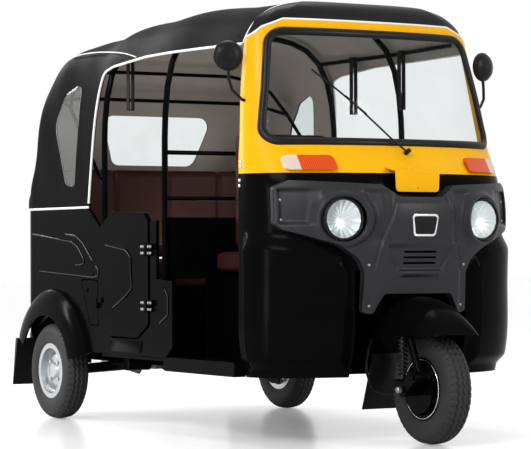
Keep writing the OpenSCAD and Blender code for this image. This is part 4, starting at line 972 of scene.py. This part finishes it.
def fenced(ay, z, sides):  # 1 inside four sides, each given by where it starts and where it is full
    inner, outer, low, high = sides
    return rise(ay, *inner) * rise(ay, *outer) * rise(z, *low) * rise(z, *high)


# relief: the centre panel raised inside its seam, less the seam's groove, plus a ring round each lamp,
# less the scoops and the grille's hollow, plus the lip below it; edges are smooth steps or bells
def fasciaRelief(y, z):
    f = fascia
    ay = np.abs(y)
    marks = np.array(f["seam"])
    seam = np.interp(z, marks[:, 0], marks[:, 1])
    relief = f["panelLift"] * rise(seam - ay, -0.005, 0.007) * rise(0.915 - z, 0, 0.012)
    relief -= f["seamDeep"] * bell(ay - seam, f["grooveWide"]) * rise(z, 0.64, 0.66)
    relief -= f["topDeep"] * bell(z - f["panelTop"], f["grooveWide"]) * rise(seam - ay, -0.004, 0.004)
    r = np.hypot(ay - f["lampY"], z - f["lampZ"])
    relief += f["hood"] * bell(r - f["hoodRadius"], f["hoodWide"])
    relief -= f["scoop"] * fenced(ay, z, f["scoopSides"]) * rise(r, 0.095, 0.125)
    relief -= f["hollow"] * fenced(ay, z, f["hollowSides"]) * rise(r, 0.1, 0.13)
    lip = bell(z - f["lipZ"], f["lipHigh"], 4) * rise(f["lipHalf"] - ay, -0.006, 0.012)
    relief += f["lipOut"] * lip
    (y1, z1), (y2, z2) = f["veeTop"], f["veeLow"]
    slope = y1 + (z1 - z) / (z1 - z2) * (y2 - y1)
    inside = rise(slope - ay, -0.004, 0.004) * rise(z, z2 - 0.008, z2) * rise(z1 - z, -0.03, 0.0)
    relief -= f["veeDeep"] * inside * (1 - lip)
    return relief


def addFascia():
    f = fascia
    z = np.linspace(f["lowZ"], f["topZ"], f["rows"])[:, None]
    y = np.linspace(-f["half"], f["half"], f["cols"])[None, :]
    front = acrossSkin(fasciaSkin, y, z, fasciaRelief(y, z))
    back = front - [f["wall"] + 0.004, 0, 0]
    face = slab("fascia_face", front, back, greyPlastic)
    half = np.array(f["outline"])
    whole = np.concatenate([half, half[1:-1][::-1] * [-1, 1, 1]])
    edge = rounded(whole, 8)
    carve(face, prism("cut", edge, "x", frontAxle.x - 0.5, frontAxle.x + 0.2), "INTERSECT")
    for z in f["slots"]:
        h, w = f["slotHigh"], f["slotHalf"]
        slot = rounded([[-w, z, 0.003], [w, z, 0.003], [w, z + h, 0.003], [-w, z + h, 0.003]], 5)
        carve(face, prism("cut", slot, "x", frontAxle.x - 0.2, frontAxle.x + 0.2))
    for side in (1, -1):
        centre, axis = lampAxis(side)
        bore = [[0.0, -0.15], [f["hole"], -0.15], [f["hole"], 0.2], [0.0, 0.2]]
        carve(face, mend(turned("cut", bore, centre, axis, None), mergeWithin))
    place(sharpen(settle(soften(face, 0.0018, 50)), 35), "body", "grey_plastic", "lamp_fascia")
    ends = spaced(edge, 520, closed=True)
    y, z = ends[:, 0], ends[:, 1]
    top = acrossSkin(fasciaSkin, y, z, fasciaRelief(y, z) - 0.004)
    low = acrossSkin(frontSkin, y, z, 0.0005)
    share = np.linspace(0, 1, 6)[:, None, None]
    rim = top * (1 - share) + low * share
    band = gridPiece("fascia_rim", rim, greyPlastic, wrapCols=True, outFrom=(frontAxle.x - 0.1, 0, 0.78))
    settle(thicken(band, 0.004))
    return place(sharpen(band, 40), "body", "grey_plastic")


def lampAxis(side):  # side 1 is the left lamp
    toe = math.radians(fascia["toe"])
    centre = (frontAxle.x + fascia["lampX"], side * fascia["lampY"], fascia["lampZ"])
    return centre, (math.cos(toe), side * math.sin(toe), 0)


# headlamps: scalloped reflector, domed lens and dark bezel
headlamp = {
    "mirror": 0.071, "deep": 0.026, "lens": 0.074, "dome": 0.017, "glass": 0.003, "scallop": 0.0022,
    "bezel": [[0.0715, -0.012], [0.0715, 0.003], [0.0735, 0.009], [0.0775, 0.0115], [0.0815, 0.009],
              [0.0838, 0.003], [0.0838, -0.012], [0.0715, -0.012]],
}


def scallops(radius, t):  # eighteen lobes that deepen towards the rim
    return headlamp["scallop"] * np.abs(np.sin(9 * t)) * (radius / headlamp["mirror"])


# bowl: along = deep ((r / mirror)^2 - 1); lens: along = dome (1 - (r / lens)^2)
def addHeadlamps():
    h = headlamp
    r = np.linspace(0.0004, h["mirror"], 28)
    bowl = np.stack([r, h["deep"] * ((r / h["mirror"]) ** 2 - 1)], -1)
    shell = np.vstack([bowl, [[h["mirror"], -0.004], [h["mirror"] - 0.002, -0.008]]])
    r = np.linspace(0.0008, h["lens"], 30)
    front = np.stack([r, 0.004 + h["dome"] * (1 - (r / h["lens"]) ** 2)], -1)
    glass = np.vstack([front, front[::-1] - [0, h["glass"]]])
    for name, profile, finish, steps, ripple, slot, stands in (
            ("reflector", shell, lampMirror, 144, scallops, "chrome", []),
            ("lens", glass, lampGlass, 96, None, "lamp_clear", ["headlamps"]),
            ("bezel", h["bezel"], darkPlastic, 96, None, "grey_plastic", [])):
        pair = [turned(name, profile, *lampAxis(side), finish, steps, ripple) for side in (1, -1)]
        lamps = mend(joined("headlamp_" + name, pair), mergeWithin)
        place(sharpen(lamps, 50), "body", slot, *stands)


addFascia()
addHeadlamps()
# badge place: a bright frame round a blank field
badge = [[-0.049, 0.774, 0.014], [0.049, 0.774, 0.014], [0.061, 0.858, 0.014], [-0.061, 0.858, 0.014]]
badgeFrame = skinPatch("badge_frame", fasciaSkin, badge, 0.0115, 0.008, chromePlate)
place(badgeFrame, "body", "chrome", "badge_plate")
badgeField = skinPatch("badge_field", fasciaSkin, shrunk(badge, 0.008), 0.0128, 0.004, darkPlastic)
place(badgeField, "body", "grey_plastic")
print("fascia and lamps made")


# front mudguard: station from the front axle, lower edge, crown, half width
mudguard = {
    "line": np.array([
        [-0.265, 0.288, 0.294, 0.118], [-0.255, 0.310, 0.420, 0.121], [-0.225, 0.350, 0.500, 0.123],
        [-0.180, 0.395, 0.540, 0.125], [-0.120, 0.408, 0.552, 0.126], [-0.050, 0.406, 0.548, 0.125],
        [0.020, 0.405, 0.531, 0.121], [0.090, 0.405, 0.497, 0.114], [0.140, 0.405, 0.452, 0.106],
        [0.168, 0.406, 0.412, 0.098],
    ]),
    "squareness": 2.4, "wall": 0.004, "rows": 90, "cols": 72,
    "flap": [[-0.259, 0.330], [-0.262, 0.296], [-0.326, 0.116], [-0.320, 0.114], [-0.254, 0.300],
             [-0.252, 0.330]],
    "flapHalf": 0.100,
}


# mudguard section: y = half r cos a, z = low + (crown - low) r sin a
def addMudguard():
    m = mudguard
    line = m["line"]
    along = lengths(line[:, [0, 2]])
    table = np.column_stack([along, line])
    at = np.linspace(0, along[-1], m["rows"])[:, None]
    x, low, crown, half = (column(table, at, k) for k in (1, 2, 3, 4))
    a = np.linspace(0, math.pi, m["cols"])[None, :]
    r = squareRound(a, m["squareness"])
    z = low + (crown - low) * r * np.sin(a)
    shell = np.stack(np.broadcast_arrays(frontAxle.x + x, half * r * np.cos(a), z), -1)
    guard = gridPiece("mudguard_shell", shell, blackPaint, outFrom=(frontAxle.x - 0.05, 0, 0.35))
    settle(thicken(guard, m["wall"]))
    place(sharpen(guard, 45), "steering", "black_paint", "front_mudguard")
    outline = np.array(m["flap"]) + [frontAxle.x, 0]
    flap = prism("mudguard_flap", outline, "y", -m["flapHalf"], m["flapHalf"])
    flap.data.materials.append(blackRubber)
    place(sharpen(settle(soften(flap, 0.0015))), "steering", "rubber")


addMudguard()


# tyres: a rounded section from bead to bead, with zigzag grooves and shoulder blocks
tyre = {
    "section": [[0.108, 0.041], [0.121, 0.044], [0.132, 0.050], [0.151, 0.053], [0.172, 0.052],
                [0.187, 0.0475], [0.197, 0.041], [0.203, 0.031], [0.2062, 0.016], [0.207, 0.0]],
    "grooves": [-0.021, 0.0, 0.021], "deep": 0.008, "wide": 0.0034, "zigzag": 0.004, "teeth": 46,
    "blocks": 46, "across": 88, "around": 368, "easing": 17,
}


# tread depth at a place across y and angle t: sunk along y = groove + zigzag tri(teeth t),
# and between the shoulder blocks
def treadDepth(y, t):
    wave = tyre["teeth"] * t / fullTurn
    tooth = 2 * np.abs(2 * (wave - np.floor(wave + 0.5))) - 1
    sunk = np.zeros(np.broadcast(y, t).shape)
    for groove in tyre["grooves"]:
        sunk = np.maximum(sunk, bell(y - groove - tyre["zigzag"] * tooth, tyre["wide"], 4))
    saw = np.cos(tyre["blocks"] * t + 0.9)
    shoulder = rise(np.abs(y), 0.032, 0.036) * rise(0.0485 - np.abs(y), 0, 0.004) * rise(saw, 0.55, 0.8)
    return tyre["deep"] * np.maximum(sunk, 0.7 * shoulder)


# running mean of a line's points, its ends held
def eased(line, width):
    weights = np.ones(width) / width
    padded = [np.pad(line[:, k], width // 2, "edge") for k in (0, 1)]
    return np.stack([np.convolve(values, weights, "valid") for values in padded], -1)


def addTyres():
    side = np.array(tyre["section"])
    whole = np.vstack([side, side[-2::-1] * [1, -1]])
    line = spaced(eased(spaced(whole, 400), tyre["easing"]), tyre["across"])
    t = np.linspace(0, fullTurn, tyre["around"], endpoint=False)[:, None]
    for name, body in (("front_tyre", "front_wheel"), ("rear_tyre_right", "rear_wheel_right"),
                       ("rear_tyre_left", "rear_wheel_left")):
        hub = middleOf(name)
        y = line[None, :, 1]
        r = line[None, :, 0] - treadDepth(y, t)
        x, z = hub.x + r * np.cos(t), hub.z + r * np.sin(t)
        points = np.stack(np.broadcast_arrays(x, hub.y + y, z), -1)
        rubber = gridPiece(name + "_tread", points, tyreRubber, wrapRows=True)
        place(mend(rubber, mergeWithin), body, "tyre", name)


addTyres()
print("mudguard and tyres made")


# fixings: domed heads, each a place, a direction it faces, a radius and a rise
def domes(name, heads, finish, body, slot):
    made = []
    for centre, axis, radius, high in heads:
        t = np.linspace(0.02, math.pi / 2, 7)
        cap = np.stack([radius * np.sin(t), high * np.cos(t)], -1)
        skirt = [[radius, -0.004], [0.0005, -0.004]]
        made.append(turned("dome", np.vstack([cap, skirt]), centre, axis, finish, 20))
    return place(sharpen(mend(joined(name, made), mergeWithin), 40), body, slot)


def faceHead(y, z, radius, high):  # a head on the fascia
    y, z = np.array(y), np.array(z)
    at = acrossSkin(fasciaSkin, y, z, fasciaRelief(y, z))
    return (at, skinNormal(fasciaSkin, y, z), radius, high)


fixings = {
    "fascia": [(0.507, 0.911, 0.007), (0.507, 0.836, 0.007), (0.214, 0.668, 0.006), (0.207, 0.515, 0.006)],
    "hingeZ": (0.490, 0.516, 0.715, 0.741), "doorBolts": (0.858, 0.872), "postBolts": (0.906, 0.924),
    "postHingeZ": (0.968, 0.988, 1.040, 1.060), "postHingeX": -0.428,
}


# bright ring on the front rim, its axle nut, and the hinge of the front post
def addBrightwork():
    hub = (frontAxle.x, frontAxle.y, frontAxle.z)
    band = [[0.1085, -0.0445], [0.1085, -0.0475], [0.1120, -0.0475], [0.1120, -0.0445], [0.1085, -0.0445]]
    rimRing = turned("rim_ring", band, hub, (0, 1, 0), chromePlate, 96)
    place(mend(rimRing, mergeWithin), "front_wheel", "chrome")
    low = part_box("front_link")[0]
    nut = [[0.0005, 0.012], [0.009, 0.012], [0.013, 0.009], [0.013, -0.004], [0.0005, -0.004]]
    axle = turned("axle_nut", nut, (frontAxle.x, low.y, frontAxle.z), (0, -1, 0), bareSteel, 6)
    place(sharpen(mend(axle, mergeWithin)), "steering", "bare_steel")
    x = frontAxle.x + fixings["postHingeX"]
    heads = []
    for z in fixings["postHingeZ"]:
        y = -bodyHalf + column(frontSkin, np.array(z), 3) - 0.0015
        heads.append(((x, y, z), (0, -1, 0), 0.007, 0.005))
    domes("post_hinge", heads, chromePlate, "body", "chrome")


def addFixings():
    heads = [faceHead(side * y, z, r, 0.004) for y, z, r in fixings["fascia"] for side in (1, -1)]
    domes("fascia_screws", heads, bareSteel, "body", "bare_steel")
    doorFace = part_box("door_right")[0].y
    for name, body, y in (("doorBolts", "door", doorFace), ("postBolts", "body", -bodyHalf - 0.0155)):
        places = [(rearAxle.x + x, y, z) for z in fixings["hingeZ"] for x in fixings[name]]
        heads = [(at, (0, -1, 0), 0.006, 0.004) for at in places]
        domes("hinge_" + name, heads, bareSteel, body, "bare_steel")


# step plate under the door, and the lip the door closes on
def addStepPlate():
    step = [[0.553, 0.310, 0.02], [0.812, 0.310, 0.02], [0.826, 0.362, 0.008], [0.539, 0.362, 0.008]]
    lip = [[0.47, 0.350, 0.004], [0.90, 0.350, 0.004], [0.90, 0.392, 0.004], [0.47, 0.392, 0.004]]
    for name, outline, steps, low, high in (("step_plate", step, 6, -0.004, 0.004),
                                            ("door_lip", lip, 4, 0.030, 0.034)):
        edge = rounded(outline, steps) + [rearAxle.x, 0]
        piece = prism(name, edge, "y", -bodyHalf + low, -bodyHalf + high)
        piece.data.materials.append(blackPaint)
        place(sharpen(settle(soften(piece, 0.0015)), 40), "body", "black_paint")


addFixings()
addBrightwork()
addStepPlate()
print("fixings and step plate added")


# back of the canopy at y and height z, looked up along its line: z = base + rise (1 - (|y| / half)^n)^(1/n)
def canopyBack(y, z, off=0.0):
    s = np.linspace(0.02, 0.45, 240)
    crown = onCanopy(s, math.pi / 2, off)
    foot = onCanopy(s, 0.0, off)
    n = canopyPower(crown[:, 0] - rearAxle.x)
    share = np.clip(np.abs(y)[..., None] / foot[:, 1], 0, 1)
    high = canopy["baseZ"] + (crown[:, 2] - canopy["baseZ"]) * (1 - share**n) ** (1 / n)
    i = np.clip((high < z[..., None]).sum(-1) - 1, 0, len(s) - 2)
    lowZ, topZ = (np.take_along_axis(high, i[..., None] + k, -1)[..., 0] for k in (0, 1))
    x = crown[i, 0] + (crown[i + 1, 0] - crown[i, 0]) * (z - lowZ) / (topZ - lowZ)
    return np.stack([x, y, z], -1)


def windowFlat(name):  # an outline of the canopy, a little over its size, drawn in to its middle
    flat = drawnIn(canopy[name], 120, np.linspace(1.03, 0.0, 12))
    return flat[..., 0], flat[..., 1]


def windowPane(outer, inward):  # two rings of rows joined at the rim and at the middle
    both = np.concatenate([outer, (outer + np.array(inward))[::-1]])
    return mend(gridPiece("pane", both, clearVinyl, wrapRows=True, wrapCols=True), hairline)


# clear windows that follow the canopy: the quarters on its sides, one across its back
def addWindows():
    inset, thick = -0.002, 0.003
    side = canopySide(*windowFlat("quarter"), inset)
    left = windowPane(side, (0, -thick, 0))
    right = windowPane(acrossSides(side), (0, thick, 0))
    rear = windowPane(canopyBack(*windowFlat("rear"), inset), (thick, 0, 0))
    return place(joined("window_panes", [left, right, rear]), "body", "clear_vinyl", "canopy_windows")


# pressed lines on the panels' faces: how far out the face lies, and points (x, z) of each line
pressings = {
    "body": (0.6022, [
        [[0.118, 0.798], [0.217, 0.789], [0.284, 0.759], [0.379, 0.683]],
        [[-0.218, 0.801], [0.177, 0.764], [0.236, 0.742], [0.293, 0.691], [0.293, 0.670], [0.216, 0.665]],
        [[-0.146, 0.638], [0.378, 0.615], [0.426, 0.620], [0.435, 0.641], [0.407, 0.662]],
        [[1.020, 0.573], [1.045, 0.546], [1.044, 0.471], [0.977, 0.437]],
    ]),
    "door": (0.6082, [
        [[0.510, 0.749], [0.692, 0.728], [0.736, 0.700], [0.744, 0.570], [0.690, 0.540], [0.573, 0.489]],
    ]),
}


def pressedLine(marks, out, bend=0.012, count=120):  # bent at its inner points, half sunk in the face
    inner = range(1, len(marks) - 1)
    bent = [[x, z, bend if k in inner else 0] for k, (x, z) in enumerate(marks)]
    path = spaced(rounded(bent, 8), count)
    points = np.stack([rearAxle.x + path[:, 0], np.full(count, -out), path[:, 1]], -1)
    facing = np.tile([0.0, -1.0, 0.0], (count, 1))
    # painted sheen: the line takes the lighter, glossier copy of the black paint
    return carried("line", points, facing, ring(0.0032, 8, 0.7), paintedSheenBlack)


def addPressings():
    for body, (out, lines) in pressings.items():
        pieces = [pressedLine(marks, out) for marks in lines]
        place(joined("pressed_" + body, pieces), body, "black_paint")


addPressings()
addWindows()
print("windows and pressed lines added")


# seats: each node's sewn channels as the axis they lie across and their shares of its length
seats = {
    "driver_cushion": (1, [0.33, 0.67]),
    "driver_backrest": (2, [0.5]),
    "passenger_cushion": (1, [0.25, 0.5, 0.75]),
    "passenger_backrest": (1, [0.25, 0.5, 0.75]),
}
padding = {
    "shrink": 0.007, "swell": 0.0065, "voxel": 0.006, "fill": 0.7, "channelDeep": 0.012, "channelWide": 0.010,
    "squareness": 0.12, "clear": 0.0005,
}


def squared(value):  # a low power that keeps the sign
    return np.sign(value) * np.abs(value) ** padding["squareness"]


# start of a pad: superquadric x = a c(u) c(v), y = b c(u) s(v), z = c s(u), each c and s to a low power
def padStart(name, low, high):
    u = np.linspace(-math.pi / 2 + 0.002, math.pi / 2 - 0.002, 72)[:, None]
    v = np.linspace(-math.pi, math.pi, 144, endpoint=False)[None, :]
    x = squared(np.cos(u)) * squared(np.cos(v))
    y = squared(np.cos(u)) * squared(np.sin(v))
    shape = np.stack(np.broadcast_arrays(x, y, squared(np.sin(u)) * np.ones_like(v)), -1)
    points = (low + high) / 2 + shape * (high - low) / 2
    return mend(gridPiece(name, points, seatVinyl, wrapCols=True), 0.0004, fill=400)


def inflate(piece, cap):  # cloth under pressure, its movement capped
    before = coords(piece.data)
    cloth = piece.modifiers.new("fill", "CLOTH")
    cloth.settings.use_pressure = True
    cloth.settings.uniform_pressure_force = 4
    cloth.settings.tension_stiffness = 25
    cloth.settings.bending_stiffness = 2
    cloth.settings.effector_weights.gravity = 0
    cloth.settings.quality = 4
    for step in range(1, 21):
        scene.frame_set(step)
    settle(piece)
    scene.frame_set(1)
    move = coords(piece.data) - before
    size = np.linalg.norm(move, axis=1, keepdims=True)
    after = before + move * np.minimum(1, cap / np.maximum(size, 1e-9))
    piece.data.vertices.foreach_set("co", after.ravel())
    piece.data.update()


# channel: the surface drawn in by a bell across each sewn line
def addSeat(node, axis, places):
    low, high = (np.array(corner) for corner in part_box(node))
    pad = padStart(node + "_pad", low + padding["shrink"], high - padding["shrink"])
    remesh = pad.modifiers.new("even", "REMESH")
    remesh.mode = "VOXEL"
    remesh.voxel_size = padding["voxel"]
    settle(pad)
    inflate(pad, padding["swell"])
    points = coords(pad.data)
    middle, half = (low + high) / 2, (high - low) / 2
    fromLow = ((points - low) / (high - low))[:, axis]
    across = [(fromLow - at) * (high - low)[axis] for at in places]
    sunk = np.minimum(sum(bell(gap, padding["channelWide"]) for gap in across), 1)
    points += (middle - points) / half * padding["channelDeep"] * sunk[:, None] * np.array([1, 0, 1])
    points = np.clip(points, low + padding["clear"], high - padding["clear"])
    pad.data.vertices.foreach_set("co", points.ravel())
    pad.data.update()
    smooth(pad.data)
    pad.data.materials.clear()
    pad.data.materials.append(seatVinyl)
    place(pad, "body", "seat_vinyl", node)


for node, (axis, places) in seats.items():
    addSeat(node, axis, places)
print("seats padded")


# rest of the solids: a finish, and rounded edges where the real piece has them
def dress(finish, names, edge=0.0):
    for name in names:
        solid = nodes[name]
        solid.data.materials.clear()
        solid.data.materials.append(finish)
        smooth(solid.data)
        close = solid.modifiers.new("weld", "WELD")
        close.merge_threshold = 0.00002
        if edge:
            flat = solid.modifiers.new("flats", "DECIMATE")
            flat.decimate_type = "DISSOLVE"
            flat.angle_limit = math.radians(0.6)
            soften(solid, edge, 35)
            solid.modifiers.new("shade", "WEIGHTED_NORMAL")
        else:
            split = solid.modifiers.new("split", "EDGE_SPLIT")
            split.split_angle = math.radians(32)


dress(blackPaint, ["side_panel_right", "side_panel_left", "rear_panel",
                   "door_right", "access_flap", "engine_hatch"], 0.0025)
dress(blackPaint, ["floor_pan", "underframe", "rear_bumper",
                   "partition", "driver_seat_base", "passenger_seat_base"], 0.002)
dress(blackPaint, ["front_cowl", "canopy_frame", "steering_column", "front_link", "wheel_arches",
                   "rear_arm_right", "rear_arm_left", "front_rim"])
dress(greyPlastic, ["dashboard"])
# painted sheen: the springs take the lighter, glossier copy of the black paint
dress(paintedSheenBlack, ["front_spring", "rear_springs"])
dress(darkPlastic, ["mirrors", "handlebar", "wiper"])
dress(blackRubber, ["mud_flaps"], 0.001)
dress(blackRubber, ["brake_hose"])
dress(webbing, ["grab_straps"], 0.001)
dress(bareSteel, ["engine_block", "silencer", "drive_shafts"])
dress(silverSteel, ["rear_rim_right", "rear_rim_left"])
dress(amberLens, ["front_indicators"], 0.003)
dress(redLens, ["tail_lamps"], 0.004)
print("solids dressed")
